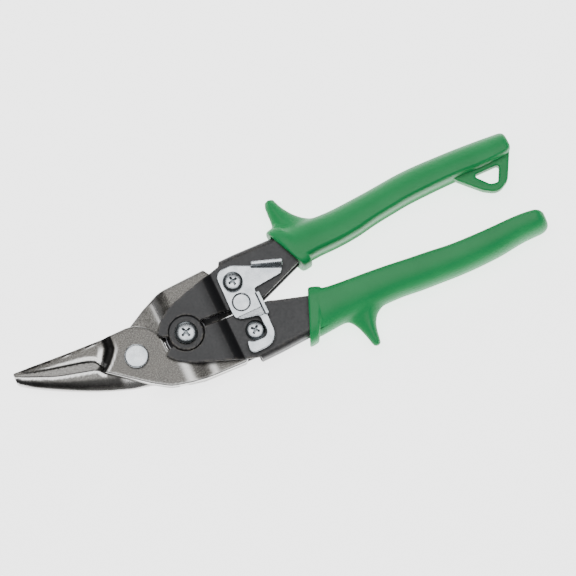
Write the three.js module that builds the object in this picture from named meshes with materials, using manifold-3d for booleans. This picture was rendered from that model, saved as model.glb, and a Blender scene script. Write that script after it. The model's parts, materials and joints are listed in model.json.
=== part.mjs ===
// Compound-action aviation snips, closed and latched, lying on their back.
// Millimetres. The tool is drawn in its own plane: X runs from the jaw tips to the
// handle ends, Y towards the upper handle, Z up through the pivots, with Z = 0 on
// the shear plane between the two blades and X = Y = 0 on the blade pivot.
// The whole group is then moved so that its origin is the bottom centre of its box.

import * as THREE from 'three';
import { mergeVertices } from 'three/addons/utils/BufferGeometryUtils.js';
import Module from 'manifold-3d';

const wasm = await Module();
wasm.setup();

// ---- Driving dimensions ----------------------------------------------------

const BLADE_PIVOT = [0, 0];
const HANDLE_PIVOT = [24.6, 0];
const UPPER_TANG_PIVOT = [53.4, 12];
const LOWER_TANG_PIVOT = [53.4, -12];

const TIP_X = -53.7;
const GRIP_END_X = 195.3;
const HORN_TIP_Y = 41;
const REST_Z = -9.5;

const GAP = 0.3;
const SHEAR_GAP = 0.15;
const BLADE_THICKNESS = 5;
const TANG_HALF = 3;
const DISC_RADIUS = 14;
const JOGGLE_START_X = 15;
const JOGGLE_END_X = 25;
const PIVOT_CLEARANCE_RADIUS = 10.9;
const EYE_RADIUS = 6.6;
const BLADE_BORE_RADIUS = 4.35;
const TANG_BORE_RADIUS = 3.3;

const SHEET = 2.2;
const RAISED_WALL_Z = 5.3;
const CHANNEL_WALL_Z = 3.3;
const WALL_SLOPE_LENGTH = 4.4;
const UPPER_SLOPE_X = 41.4;
const LOWER_SLOPE_X = 39.4;
const WEB_START_X = 51;
const CHANNEL_END_X = 187;

const UPPER_LOBE_Z = 4.2;
const LOWER_LOBE_Z = 1.7;
const LOBE_RADIUS = 7.9;
const BACK_LOBE_RADIUS = 10.2;
const UPPER_LOBE_BORE_RADIUS = 4.6;
const LOWER_LOBE_BORE_RADIUS = 4.5;
const WALL_BORE_RADIUS = 3.2;
const UPPER_RECESS_RADIUS = 8.1;
const RECESS_OVERLAP = 1.4;
const LOWER_RECESS_RADIUS = 8.4;
const CUP_RADIUS = 10.4;

const GRIP_HALF = 9.5;
const GRIP_BEVEL = 3.5;
const COLLAR_BEVEL = 1.2;
const HORN_BEVEL = 1.5;
const HORN_HALF = 4.5;
const LOOP_HALF = 3;

const ARC_STEP = Math.PI / 12;
const ROUND_SIDES = 28;
const FAR = 400;

// ---- Shape tools -----------------------------------------------------------

function toSolid(geometry) {
  const bare = new THREE.BufferGeometry();
  bare.setAttribute('position', geometry.getAttribute('position'));
  if (geometry.index) bare.setIndex(geometry.index);
  const merged = mergeVertices(bare, 1e-5);
  const vertProperties = new Float32Array(merged.getAttribute('position').array);
  const triVerts = new Uint32Array(merged.index.array);
  return new wasm.Manifold(new wasm.Mesh({ numProp: 3, vertProperties, triVerts }));
}

function toGeometry(solid) {
  const mesh = solid.getMesh();
  const geometry = new THREE.BufferGeometry();
  geometry.setAttribute('position', new THREE.BufferAttribute(mesh.vertProperties, 3));
  geometry.setIndex(new THREE.BufferAttribute(mesh.triVerts, 1));
  return geometry;
}

function join(...solids) {
  return solids.reduce((whole, piece) => whole.add(piece));
}

function cut(body, ...tools) {
  return tools.reduce((rest, tool) => rest.subtract(tool), body);
}

// Outline points from corners [x, y, radius], each corner rounded by an arc that
// takes at most half of the shorter edge beside it.
function rounded(corners) {
  const points = [];
  corners.forEach(([x, y, wanted], i) => {
    const corner = new THREE.Vector2(x, y);
    if (!wanted) {
      points.push(corner);
      return;
    }
    const [backX, backY] = corners.at(i - 1);
    const [aheadX, aheadY] = corners[(i + 1) % corners.length];
    const back = new THREE.Vector2(backX, backY).sub(corner);
    const ahead = new THREE.Vector2(aheadX, aheadY).sub(corner);
    const room = 0.49 * Math.min(back.length(), ahead.length());
    back.normalize();
    ahead.normalize();
    const half = Math.acos(THREE.MathUtils.clamp(back.dot(ahead), -1, 1)) / 2;
    const reach = Math.min(wanted / Math.tan(half), room);
    const radius = reach * Math.tan(half);
    const inward = back.clone().add(ahead).normalize();
    const centre = corner.clone().addScaledVector(inward, radius / Math.sin(half));
    const start = corner.clone().addScaledVector(back, reach).sub(centre);
    const end = corner.clone().addScaledVector(ahead, reach).sub(centre);
    const sweep = Math.atan2(start.cross(end), start.dot(end));
    const steps = Math.max(1, Math.ceil(Math.abs(sweep) / ARC_STEP));
    for (let k = 0; k <= steps; k += 1) {
      points.push(start.clone().rotateAround(new THREE.Vector2(), sweep * k / steps).add(centre));
    }
  });
  return points;
}

// Points on an arc round a centre, from one angle to another, in degrees.
function arc([x, y], radius, from, to) {
  const sweep = THREE.MathUtils.degToRad(to - from);
  const steps = Math.ceil(Math.abs(sweep) / ARC_STEP);
  return Array.from({ length: steps + 1 }, (_, k) => {
    const angle = THREE.MathUtils.degToRad(from) + sweep * k / steps;
    return [x + radius * Math.cos(angle), y + radius * Math.sin(angle), 0];
  });
}

function prism(points, depth) {
  return new THREE.ExtrudeGeometry(new THREE.Shape(points), { depth, bevelEnabled: false });
}

// Plan outline made solid between two heights.
function plate(corners, bottom, top) {
  return toSolid(prism(rounded(corners), top - bottom).translate(0, 0, bottom));
}

// Plan outline made solid with rounded-over rims, centred on Z = 0.
function cushioned(corners, half, bevel) {
  const geometry = new THREE.ExtrudeGeometry(new THREE.Shape(rounded(corners)), {
    depth: 2 * (half - bevel),
    bevelThickness: bevel,
    bevelSize: bevel,
    bevelOffset: -bevel,
    bevelSegments: 2,
  });
  return toSolid(geometry.translate(0, 0, bevel - half));
}

// Side profile of [x, z] points made solid across the whole width.
function acrossY(points) {
  const shape = points.map(([x, z]) => new THREE.Vector2(x, z));
  const geometry = prism(shape, FAR).rotateX(Math.PI / 2).translate(0, FAR / 2, 0);
  return toSolid(geometry);
}

// End profile of [y, z] points made solid along the whole length.
function acrossX(points) {
  const shape = points.map(([y, z]) => new THREE.Vector2(y, z));
  const turn = new THREE.Matrix4().makeBasis(
    new THREE.Vector3(0, 1, 0),
    new THREE.Vector3(0, 0, 1),
    new THREE.Vector3(1, 0, 0),
  );
  return toSolid(prism(shape, FAR).applyMatrix4(turn).translate(-FAR / 2, 0, 0));
}

function cylinder([x, y], radius, bottom, top, sides = ROUND_SIDES) {
  const geometry = new THREE.CylinderGeometry(radius, radius, top - bottom, sides);
  return toSolid(geometry.rotateX(Math.PI / 2).translate(x, y, (bottom + top) / 2));
}

// Turned piece from [radius, z] points that start and end on its axis.
function turned([x, y], profile, sides = ROUND_SIDES) {
  const points = profile.map(([radius, z]) => new THREE.Vector2(radius, z));
  const geometry = new THREE.LatheGeometry(points, sides).rotateX(Math.PI / 2);
  return toSolid(geometry.translate(x, y, 0));
}

function ring(centre, inner, outer, bottom, top, sides = ROUND_SIDES) {
  return cut(cylinder(centre, outer, bottom, top, sides), cylinder(centre, inner, bottom - 1, top + 1));
}

// Solid skinned over sections [x, [[y, z], ...]] that have equal point counts, each
// going round anticlockwise from the edge that meets the other blade.
function loft(sections) {
  const count = sections[0][1].length;
  const positions = sections.flatMap(([x, points]) => points.flatMap(([y, z]) => [x, y, z]));
  const triangles = [];
  for (let s = 0; s + 1 < sections.length; s += 1) {
    for (let k = 0; k < count; k += 1) {
      const a = s * count + k;
      const b = s * count + (k + 1) % count;
      triangles.push(a, b, a + count, b, b + count, a + count);
    }
  }
  const last = (sections.length - 1) * count;
  for (let k = 1; k + 1 < count; k += 1) {
    triangles.push(0, k + 1, k);
    triangles.push(last, last + k, last + k + 1);
  }
  const geometry = new THREE.BufferGeometry();
  geometry.setAttribute('position', new THREE.Float32BufferAttribute(positions, 3));
  geometry.setIndex(triangles);
  return toSolid(geometry);
}

function mirrored(solid) {
  return solid.mirror([0, 0, 1]);
}

function flipped(corners) {
  return corners.map(([x, y, radius]) => [x, -y, radius]);
}

// ---- Materials -------------------------------------------------------------

const paint = (color, roughness, metalness) =>
  new THREE.MeshStandardMaterial({ color, roughness, metalness });

const FORGED_STEEL = paint(0x9a958d, 0.4, 1);
const BLACK_PAINT = paint(0x2b2c2f, 0.45, 0.3);
const GREEN_VINYL = paint(0x2f9f58, 0.5, 0);
const ZINC_PLATE = paint(0xc9ced2, 0.3, 1);
const SPRING_STEEL = paint(0x6f7278, 0.35, 1);

const parts = [];

function add(name, solid, material) {
  const mesh = new THREE.Mesh(toGeometry(solid), material);
  mesh.name = name;
  parts.push(mesh);
}

// ---- Blades ----------------------------------------------------------------

// Side profile of a forged blade: full thickness over the disc, then a joggle that
// brings the tang onto the tool's middle plane, between the handle walls.
function bladeThickness() {
  return acrossY([
    [-60, SHEAR_GAP],
    [JOGGLE_START_X, SHEAR_GAP],
    [JOGGLE_END_X, -TANG_HALF],
    [90, -TANG_HALF],
    [90, TANG_HALF],
    [JOGGLE_END_X + 4, TANG_HALF],
    [JOGGLE_START_X + 4, BLADE_THICKNESS],
    [-60, BLADE_THICKNESS],
  ]);
}

// End of a tang on the -Y side: the step behind its outer edge, its eye, and the
// hollow that clears the handle pivot and the spring.
function tangCorners() {
  return [
    [45.4, -21.4, 1],
    [46.5, -18.8, 3],
    ...arc(LOWER_TANG_PIVOT, EYE_RADIUS, -95, 85),
    [46, -5.6, 3],
    ...arc(HANDLE_PIVOT, PIVOT_CLEARANCE_RADIUS, -30.9, -170),
  ];
}

function upperJaw() {
  const section = (topY, faceY, edgeY) => [
    [topY, SHEAR_GAP],
    [topY, 1.9],
    [topY - 0.5, 2.4],
    [faceY + 0.9, 2.4],
    [faceY, 1.7],
    [edgeY, 0.7],
    [edgeY, SHEAR_GAP],
  ];
  return loft([
    [TIP_X + 0.5, section(17.3, 16.2, 15.4)],
    [-44.6, section(16.6, 13.1, 11.7)],
    [-36.3, section(15.9, 10.6, 8)],
    [-24.9, section(15.1, 7.7, 4.7)],
    [-15.5, section(14.5, 5.2, 0.9)],
    [-7, section(14, 4, -3)],
  ]);
}

function upperJawBlade() {
  const forging = plate([
    [-15.6, 0.6, 2],
    [0.5, -13.7, 10],
    [8.6, -19.2, 12],
    [20.6, -22.2, 30],
    [43.9, -23.1, 1],
    ...tangCorners(),
    ...arc(BLADE_PIVOT, DISC_RADIUS, -7.8, 88),
    [-5.9, 14, 0],
    [-15.6, 14.6, 0],
  ], -TANG_HALF, BLADE_THICKNESS);
  const recess = plate([
    [-30, 20, 0],
    [-30, -2.5, 0],
    [-14.4, 0.2, 0],
    [-10, 4.2, 5],
    [-7.6, 8.7, 5],
    [-8, 20, 0],
  ], 2.4, BLADE_THICKNESS + 1);
  return cut(
    join(cut(forging.intersect(bladeThickness()), recess), upperJaw()),
    cylinder(BLADE_PIVOT, BLADE_BORE_RADIUS, -9, 9),
    cylinder(LOWER_TANG_PIVOT, TANG_BORE_RADIUS, -9, 9),
  );
}

function lowerJaw() {
  const section = (hiddenY, bottomY, backZ) => [
    [hiddenY, -SHEAR_GAP],
    [bottomY + 4.2, -SHEAR_GAP],
    [bottomY + 2.4, -0.5],
    [bottomY + 0.7, -1.6],
    [bottomY, -3.6],
    [bottomY + 0.6, backZ + 0.8],
    [bottomY + 2.2, backZ],
    [hiddenY, -3],
  ];
  return loft([
    [TIP_X, section(17.6, 12.2, -4.6)],
    [-45.2, section(14.6, 6.2, -5.6)],
    [-33.3, section(10.4, -0.4, -6.2)],
    [-21.1, section(7.4, -6.3, -6.2)],
    [-8.3, section(5.4, -11.2, -BLADE_THICKNESS)],
    [0.7, section(4.4, -13.4, -BLADE_THICKNESS)],
  ]);
}

function lowerJawBlade() {
  const outline = flipped([
    [2.4, -14.4, 6],
    [11.7, -19.4, 14],
    [20.2, -23, 12],
    [43.9, -23.9, 1],
  ]);
  const lowerSide = [
    ...arc(BLADE_PIVOT, DISC_RADIUS, -2, -110),
    [-10, -10, 0],
    [-10, 6, 0],
  ];
  const corners = [...lowerSide, ...outline, ...flipped(tangCorners())];
  const forging = plate(corners.reverse(), -BLADE_THICKNESS, TANG_HALF);
  return cut(
    join(forging.intersect(mirrored(bladeThickness())), lowerJaw()),
    cylinder(BLADE_PIVOT, BLADE_BORE_RADIUS, -9, 9),
    cylinder(UPPER_TANG_PIVOT, TANG_BORE_RADIUS, -9, 9),
  );
}

add('upper_jaw_blade', upperJawBlade(), FORGED_STEEL);
add('lower_jaw_blade', lowerJawBlade(), FORGED_STEEL);

// ---- Handle frames ---------------------------------------------------------

const UPPER_CHANNEL = {
  outer: [[79, 23.7], [95, 22], [120, 22], [150, 23.7], [CHANNEL_END_X, 21.7]],
  inner: [[CHANNEL_END_X, 15.5], [150, 15.4], [120, 12.6], [100, 10.7], [85.2, 8.6]],
};

const LOWER_CHANNEL = {
  outer: [[74.2, -24.3], [90, -23], [120, -22.6], [150, -24.9], [CHANNEL_END_X, -23]],
  inner: [[CHANNEL_END_X, -17.2], [150, -16], [120, -12.3], [100, -10.4], [84, -8.4]],
};

// Inner edges of the walls on each side of the slit between the two handles. The
// slit is narrower at the back.
const UPPER_SLIT_EDGE = [[33.1, 2.5, 0], [46.6, 1.5, 0], [63.6, 0.5, 0]];
const UPPER_BACK_SLIT_EDGE = [[33.1, 1.3, 0], [46.6, 0.9, 0], [63.6, 0.5, 0]];
const LOWER_SLIT_EDGE = [[63.8, -1.8, 6], [47.7, -1.7, 0], [33.2, -0.9, 0]];
const LOWER_BACK_SLIT_EDGE = [[63.8, -1.2, 6], [47.7, -0.5, 0], [33.2, 0.1, 0]];

const upperOutline = (slitEdge) => [
  HANDLE_PIVOT,
  ...slitEdge,
  ...UPPER_CHANNEL.inner.toReversed().map(([x, y]) => [x, y, 0]),
  ...UPPER_CHANNEL.outer.toReversed().map(([x, y]) => [x, y, 0]),
  [59, 24.3, 0],
  [WEB_START_X + 0.9, 24.2, 1],
  [50.6, 21.8, 0],
  [31.2, 16.6, 20],
  [22.5, 14, 12],
  [15, 8.8, 8],
  [12.3, 4.4, 1.4],
  [14, 2.8, 1],
  [18, 1.4, 0],
];

const lowerOutline = (slitEdge) => [
  HANDLE_PIVOT,
  [18.4, -2.7, 0],
  [12.7, -4.6, 0.8],
  [12.1, -6.1, 1],
  [15.1, -9.7, 8],
  [21.3, -13.7, 14],
  [40.3, -20.9, 60],
  [50.7, -24.1, 0],
  [WEB_START_X, -25.2, 1],
  [60.4, -25, 0],
  ...LOWER_CHANNEL.outer.map(([x, y]) => [x, y, 0]),
  ...LOWER_CHANNEL.inner.map(([x, y]) => [x, y, 0]),
  [66.8, -3, 12],
  ...slitEdge,
];

// Side profile of one sheet wall: raised over the blades, then stepped in to the
// channel that the tang's eye sits in.
function wallThickness(slopeX) {
  const slopeEndX = slopeX + WALL_SLOPE_LENGTH;
  return acrossY([
    [0, RAISED_WALL_Z],
    [slopeX, RAISED_WALL_Z],
    [slopeEndX, CHANNEL_WALL_Z],
    [FAR, CHANNEL_WALL_Z],
    [FAR, CHANNEL_WALL_Z + SHEET],
    [slopeEndX, CHANNEL_WALL_Z + SHEET],
    [slopeX, RAISED_WALL_Z + SHEET],
    [0, RAISED_WALL_Z + SHEET],
  ]);
}

// Wall of the upper handle, as the front one: a round lobe, pressed in a little,
// sits outermost on the handle pivot.
function upperWall(slitEdge) {
  const outline = plate(upperOutline(slitEdge), 0, 9);
  const sheet = outline.intersect(wallThickness(UPPER_SLOPE_X));
  const topZ = UPPER_LOBE_Z + SHEET;
  const lobe = join(
    cylinder(HANDLE_PIVOT, LOBE_RADIUS, UPPER_LOBE_Z, topZ),
    cylinder(HANDLE_PIVOT, UPPER_RECESS_RADIUS + RECESS_OVERLAP, UPPER_LOBE_Z, topZ).intersect(outline),
  );
  return cut(
    join(cut(sheet, cylinder(HANDLE_PIVOT, UPPER_RECESS_RADIUS, 0, 9)), lobe),
    cylinder(HANDLE_PIVOT, UPPER_LOBE_BORE_RADIUS, 0, 9),
    cylinder(UPPER_TANG_PIVOT, WALL_BORE_RADIUS, 0, 9),
  );
}

// Wall of the lower handle, as the front one: a cup round the handle pivot carries
// its lobe under the upper handle's lobe.
function lowerWall(slitEdge, lobeRadius) {
  const outline = plate(lowerOutline(slitEdge), 0, 9);
  const sheet = outline.intersect(wallThickness(LOWER_SLOPE_X));
  const topZ = RAISED_WALL_Z + SHEET;
  const cup = ring(HANDLE_PIVOT, LOWER_RECESS_RADIUS, CUP_RADIUS, LOWER_LOBE_Z, topZ).intersect(outline);
  const floor = join(
    cylinder(HANDLE_PIVOT, lobeRadius, LOWER_LOBE_Z, LOWER_LOBE_Z + SHEET),
    cylinder(HANDLE_PIVOT, BACK_LOBE_RADIUS, LOWER_LOBE_Z, LOWER_LOBE_Z + SHEET).intersect(outline),
  );
  return cut(
    join(cut(sheet, cylinder(HANDLE_PIVOT, LOWER_RECESS_RADIUS, 0, 9)), cup, floor),
    cylinder(HANDLE_PIVOT, LOWER_LOBE_BORE_RADIUS, 0, 9),
    cylinder(LOWER_TANG_PIVOT, WALL_BORE_RADIUS, 0, 9),
  );
}

// Web along the outer side of a channel, from its first bend to its far end.
function web(outer, side) {
  const inward = -side * SHEET;
  const edge = outer.map(([x, y]) => [x, y, 0]);
  const inside = outer.map(([x, y]) => [x, y + inward, 0]).reverse();
  const corners = side > 0 ? [...inside, ...edge] : [...edge, ...inside];
  const half = CHANNEL_WALL_Z + SHEET / 2;
  return plate(side > 0 ? corners.reverse() : corners, -half, half);
}

function handleFrame(frontWall, backWall, outer, side) {
  return join(frontWall, mirrored(backWall), web(outer, side));
}

const UPPER_WEB = [[WEB_START_X + 0.9, 24.2], [59, 24.3], ...UPPER_CHANNEL.outer];
const LOWER_WEB = [[WEB_START_X, -25.2], [60.4, -25], ...LOWER_CHANNEL.outer];

function upperHandleFrame() {
  return handleFrame(upperWall(UPPER_SLIT_EDGE), upperWall(UPPER_BACK_SLIT_EDGE), UPPER_WEB, 1);
}

// The back wall's lobe is a full disc, which closes the notch behind the spring. Its
// edge ahead of the web is trimmed, so that it stays behind the end of the tang.
function lowerHandleFrame() {
  const frontWall = lowerWall(LOWER_SLIT_EDGE, LOBE_RADIUS);
  const trim = plate([[43, -27], [50.6, -27], [50.6, -21.8], [43, -21.8]], 0, 9);
  const backWall = cut(lowerWall(LOWER_BACK_SLIT_EDGE, BACK_LOBE_RADIUS), trim);
  return handleFrame(frontWall, backWall, LOWER_WEB, -1);
}

add('upper_handle_frame', upperHandleFrame(), BLACK_PAINT);
add('lower_handle_frame', lowerHandleFrame(), BLACK_PAINT);

// ---- Grips -----------------------------------------------------------------

// Pocket for a handle channel, a gap larger than the steel, open at the front.
function pocket({ outer, inner }, side, frontX) {
  const grow = side * GAP;
  const outerEdge = outer.slice(1).map(([x, y]) => [x, y + grow]);
  const innerEdge = inner.slice(0, -1).map(([x, y]) => [x, y - grow]);
  const [startX, startY] = outer[0];
  const [lastX, lastY] = inner.at(-1);
  const slope = (innerEdge.at(-1)[1] + grow - lastY) / (innerEdge.at(-1)[0] - lastX);
  const corners = [
    [frontX, startY + grow + side * 0.4],
    [startX, startY + grow],
    ...outerEdge,
    ...innerEdge,
    [lastX, lastY - grow],
    [frontX, lastY - grow - slope * (lastX - frontX) - side * 7],
  ].map(([x, y]) => [x === CHANNEL_END_X ? x + GAP : x, y, 0]);
  const half = CHANNEL_WALL_Z + SHEET + GAP;
  return plate(side > 0 ? corners.reverse() : corners, -half, half);
}

function upperGrip() {
  const sleeve = cushioned([
    [81, 26.2, 4.2],
    [86.2, 7.6, 4.2],
    [104, 8.3, 40],
    [126, 10.9, 60],
    [148, 13.5, 80],
    [176, 12.6, 80],
    [189, 13.2, 10],
    [GRIP_END_X, 15.4, 4],
    [GRIP_END_X, 23.4, 4],
    [178, 24.7, 90],
    [152, 26.1, 90],
    [112, 23.4, 90],
  ], GRIP_HALF, GRIP_BEVEL);
  const collar = cushioned([
    [78.2, 26.6, 2.2],
    [85.9, 4.9, 2.2],
    [90.6, 5.4, 2.2],
    [84.5, 28, 2.2],
  ], GRIP_HALF, COLLAR_BEVEL);
  const horn = cushioned([
    [83, 20, 0],
    [93.6, 20, 0],
    [98.5, 23.6, 0],
    [93.4, 27, 8],
    [87.6, HORN_TIP_Y, 2],
    [83.7, HORN_TIP_Y, 2],
    [82.2, 27, 2],
  ], HORN_HALF, HORN_BEVEL);
  const loop = cut(plate([
    [166, 17, 0],
    [166.3, 12.6, 0],
    [175, 3.1, 5],
    [181.2, -0.8, 6],
    [187.4, 2.6, 5],
    [193.6, 14.6, 0],
    [193, 17, 0],
  ], -LOOP_HALF, LOOP_HALF), plate([
    [173.6, 11, 1],
    [179.4, 4.4, 1.6],
    [183, 3.6, 1.6],
    [186.8, 10.8, 1],
  ], -9, 9));
  return cut(join(sleeve, collar, horn, loop), pocket(UPPER_CHANNEL, 1, 60));
}

function lowerGrip() {
  const sleeve = cushioned([
    [78.2, -25.8, 4],
    [108, -24.4, 60],
    [124, -24.8, 60],
    [150, -27.4, 90],
    [182, -25, 60],
    [GRIP_END_X, -26.2, 5],
    [GRIP_END_X, -15.6, 5],
    [180, -13.8, 60],
    [162, -14.7, 80],
    [126, -10.8, 80],
    [100, -8.1, 60],
    [85, -4.9, 4],
  ], GRIP_HALF, GRIP_BEVEL);
  const collar = cushioned([
    [73, -28.3, 1.8],
    [77.6, -28, 2],
    [89.3, -6.2, 2.2],
    [83.3, -3.9, 2.2],
    [77.2, -15.4, 20],
  ], GRIP_HALF, COLLAR_BEVEL);
  const horn = cushioned([
    [93, -20, 0],
    [91.6, -25.4, 0],
    [96.4, -29, 6],
    [99, -HORN_TIP_Y, 1.8],
    [102.6, -HORN_TIP_Y, 1.8],
    [106.6, -28, 8],
    [113.6, -24.8, 0],
    [108, -20, 0],
  ], HORN_HALF, HORN_BEVEL);
  return cut(join(sleeve, collar, horn), pocket(LOWER_CHANNEL, -1, 50));
}

add('upper_grip', upperGrip(), GREEN_VINYL);
add('lower_grip', lowerGrip(), GREEN_VINYL);

// ---- Bolts, nuts, washers, sleeve ------------------------------------------

const CROSS_LENGTH = 4.6;
const CROSS_WIDTH = 1.2;
const CROSS_DEPTH = 1.5;

function crossRecess([x, y], topZ) {
  const bar = (length, width) => {
    const geometry = new THREE.BoxGeometry(length, width, 2 * CROSS_DEPTH);
    return toSolid(geometry.translate(x, y, topZ));
  };
  return join(bar(CROSS_LENGTH, CROSS_WIDTH), bar(CROSS_WIDTH, CROSS_LENGTH));
}

// Domed screw with a cross recess; its shank runs down to endZ.
function crossScrew(centre, headRadius, seatZ, topZ, shankRadius, endZ) {
  const rise = topZ - seatZ;
  const screw = turned(centre, [
    [0, endZ],
    [shankRadius - 0.5, endZ],
    [shankRadius, endZ + 0.5],
    [shankRadius, seatZ],
    [headRadius, seatZ],
    [headRadius, seatZ + rise * 0.35],
    [headRadius * 0.86, seatZ + rise * 0.7],
    [headRadius * 0.5, topZ],
    [0, topZ],
  ]);
  return cut(screw, crossRecess(centre, topZ));
}

function flatHeadBolt(centre, headRadius, seatZ, topZ, shankRadius, endZ) {
  return turned(centre, [
    [0, endZ],
    [shankRadius - 0.5, endZ],
    [shankRadius, endZ + 0.5],
    [shankRadius, seatZ],
    [headRadius, seatZ],
    [headRadius, topZ - 0.5],
    [headRadius - 0.6, topZ],
    [0, topZ],
  ]);
}

// Hexagon lock nut with a round collar at its lower end.
function lockNut(centre, { flats, bore, bottomZ, topZ }) {
  const corner = flats / Math.sqrt(3);
  const collarZ = bottomZ + (topZ - bottomZ) * 0.3;
  const body = join(
    cylinder(centre, corner, collarZ, topZ, 6),
    cylinder(centre, flats * 0.46, bottomZ, collarZ + 0.2),
  );
  return cut(body, cylinder(centre, bore, bottomZ - 1, topZ + 1));
}

const WALL_FACE_Z = CHANNEL_WALL_Z + SHEET;
const LOBE_FACE_Z = UPPER_LOBE_Z + SHEET;
const BLADE_NUT = { flats: 12, bore: 4.3, bottomZ: REST_Z, topZ: -6.5 };
const PIVOT_NUT = { flats: 8.4, bore: 3, bottomZ: REST_Z, topZ: -7.5 };
const TANG_NUT = { flats: 8.4, bore: 3.15, bottomZ: -9.3, topZ: -WALL_FACE_Z - 0.2 };

add('blade_pivot_bolt', flatHeadBolt(BLADE_PIVOT, 5.5, 5.2, 7, 4, -9.3), ZINC_PLATE);
add('blade_pivot_washer', ring(BLADE_PIVOT, BLADE_NUT.bore, 7.2, -6.3, -5.2), ZINC_PLATE);
add('blade_pivot_nut', lockNut(BLADE_PIVOT, BLADE_NUT), ZINC_PLATE);

add('handle_pivot_bolt', crossScrew(HANDLE_PIVOT, 5.25, LOBE_FACE_Z + 0.2, 9, 2.7, -9.2), ZINC_PLATE);
add('handle_pivot_sleeve', ring(HANDLE_PIVOT, 3, 4.2, -LOBE_FACE_Z, LOBE_FACE_Z), ZINC_PLATE);
add('handle_pivot_washer', ring(HANDLE_PIVOT, 3, 5.4, -7.3, -LOBE_FACE_Z - 0.2), ZINC_PLATE);
add('handle_pivot_nut', lockNut(HANDLE_PIVOT, PIVOT_NUT), ZINC_PLATE);

add('upper_tang_bolt', crossScrew(UPPER_TANG_PIVOT, 4.6, 8.2, 10.4, 2.9, -9.1), ZINC_PLATE);
add('upper_tang_nut', lockNut(UPPER_TANG_PIVOT, TANG_NUT), ZINC_PLATE);
add('lower_tang_bolt', crossScrew(LOWER_TANG_PIVOT, 4.5, WALL_FACE_Z + 0.1, 7.4, 2.9, -9.1), ZINC_PLATE);
add('lower_tang_nut', lockNut(LOWER_TANG_PIVOT, TANG_NUT), ZINC_PLATE);

// ---- Latch -----------------------------------------------------------------

const LATCH_Z = 5.8;
const LATCH_SHEET = 1.6;
const LATCH_BORE_RADIUS = 3.25;
const HOOK_Z = 7.7;
const HOOK_TOP_Z = 9.2;

// Bent-up flange of the latch along the line between two plan points.
function flange([x0, y0], [x1, y1], topZ) {
  const along = new THREE.Vector2(x1 - x0, y1 - y0);
  const bar = new THREE.BoxGeometry(along.length(), LATCH_SHEET, topZ - LATCH_Z);
  bar.translate(along.length() / 2, LATCH_SHEET / 2, (topZ + LATCH_Z) / 2);
  return toSolid(bar.rotateZ(along.angle()).translate(x0, y0, 0));
}

function latch() {
  const outline = plate([
    [47.6, 19.5, 5.6],
    [47, -4.6, 4.4],
    [57.6, -7, 2],
    [58, -17.5, 4.6],
    [50.6, -17, 0],
    [47.8, -15.4, 0.6],
    [46.4, -21.8, 5.4],
    [60.9, -21.8, 8.2],
    [61.3, -8, 3],
    [61, 5.4, 1],
    [74.8, 6.6, 1.4],
    [77, 9.2, 1.2],
    [56, 19.3, 4],
  ], 0, 12);
  const sheet = acrossX([
    [30, LATCH_Z],
    [30, LATCH_Z + LATCH_SHEET],
    [-3.6, LATCH_Z + LATCH_SHEET],
    [-7.6, HOOK_TOP_Z],
    [-30, HOOK_TOP_Z],
    [-30, HOOK_Z],
    [-7.2, HOOK_Z],
    [-3.2, LATCH_Z],
  ]);
  return cut(
    join(
      outline.intersect(sheet),
      flange([63.8, 14.7], [76.6, 8.7], 11.8),
      flange([62.2, -8], [62.2, 3], 9.8),
    ),
    cylinder(UPPER_TANG_PIVOT, LATCH_BORE_RADIUS, 0, 12),
  );
}

add('latch', latch(), ZINC_PLATE);
add('latch_spring_washer', ring(UPPER_TANG_PIVOT, 3.2, 4.3, 7.5, 8.1), SPRING_STEEL);

// ---- Opening spring --------------------------------------------------------

const COIL_RADIUS = 9.3;
const COIL_HALF_HEIGHT = 0.96;
const COIL_START = Math.PI / 4;
const COIL_SWEEP = 3.5 * Math.PI;
const COIL_STEPS = 28;
const WIRE_RADIUS = 0.5;
const WIRE_SIDES = 6;
const LEG = [[34.4, 3.9], [37, 3.3], [42, 3.4], [47, 3.6]];

// Torsion spring: nearly two turns round the handle pivot, between the lobes, with
// a leg beside each tang.
function openingSpring() {
  const [x, y] = HANDLE_PIVOT;
  const coil = Array.from({ length: COIL_STEPS + 1 }, (_, k) => {
    const angle = COIL_START + COIL_SWEEP * k / COIL_STEPS;
    const z = COIL_HALF_HEIGHT * (1 - 2 * k / COIL_STEPS);
    return new THREE.Vector3(x + COIL_RADIUS * Math.cos(angle), y + COIL_RADIUS * Math.sin(angle), z);
  });
  const leg = (side) => LEG.map(([legX, legY]) => {
    return new THREE.Vector3(legX, side * legY, side * COIL_HALF_HEIGHT);
  });
  const path = new THREE.CatmullRomCurve3([...leg(1).reverse(), ...coil, ...leg(-1)]);
  const section = Array.from({ length: WIRE_SIDES }, (_, k) => {
    const angle = 2 * Math.PI * k / WIRE_SIDES;
    return new THREE.Vector2(WIRE_RADIUS * Math.cos(angle), WIRE_RADIUS * Math.sin(angle));
  });
  return toSolid(new THREE.ExtrudeGeometry(new THREE.Shape(section), {
    steps: 2 * COIL_STEPS,
    extrudePath: path,
    bevelEnabled: false,
  }));
}

add('opening_spring', openingSpring(), SPRING_STEEL);

// ---- Assembly --------------------------------------------------------------

const snips = new THREE.Group();
snips.add(...parts);
snips.position.set(-(TIP_X + GRIP_END_X) / 2, 0, -REST_Z);

export default snips;
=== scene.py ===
"""Compound-action aviation snips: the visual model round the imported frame.

Shapes are written in the tool's own millimetres: X from the jaw tips to the handle
ends, Y towards the upper handle, Z up, with the blade pivot on the shear plane at
the origin. place() turns them into the frame's metres.
"""
import json
import math
from contextlib import contextmanager

import bmesh
import bpy
import numpy as np
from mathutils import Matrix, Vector
from mathutils.geometry import delaunay_2d_cdt


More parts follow.
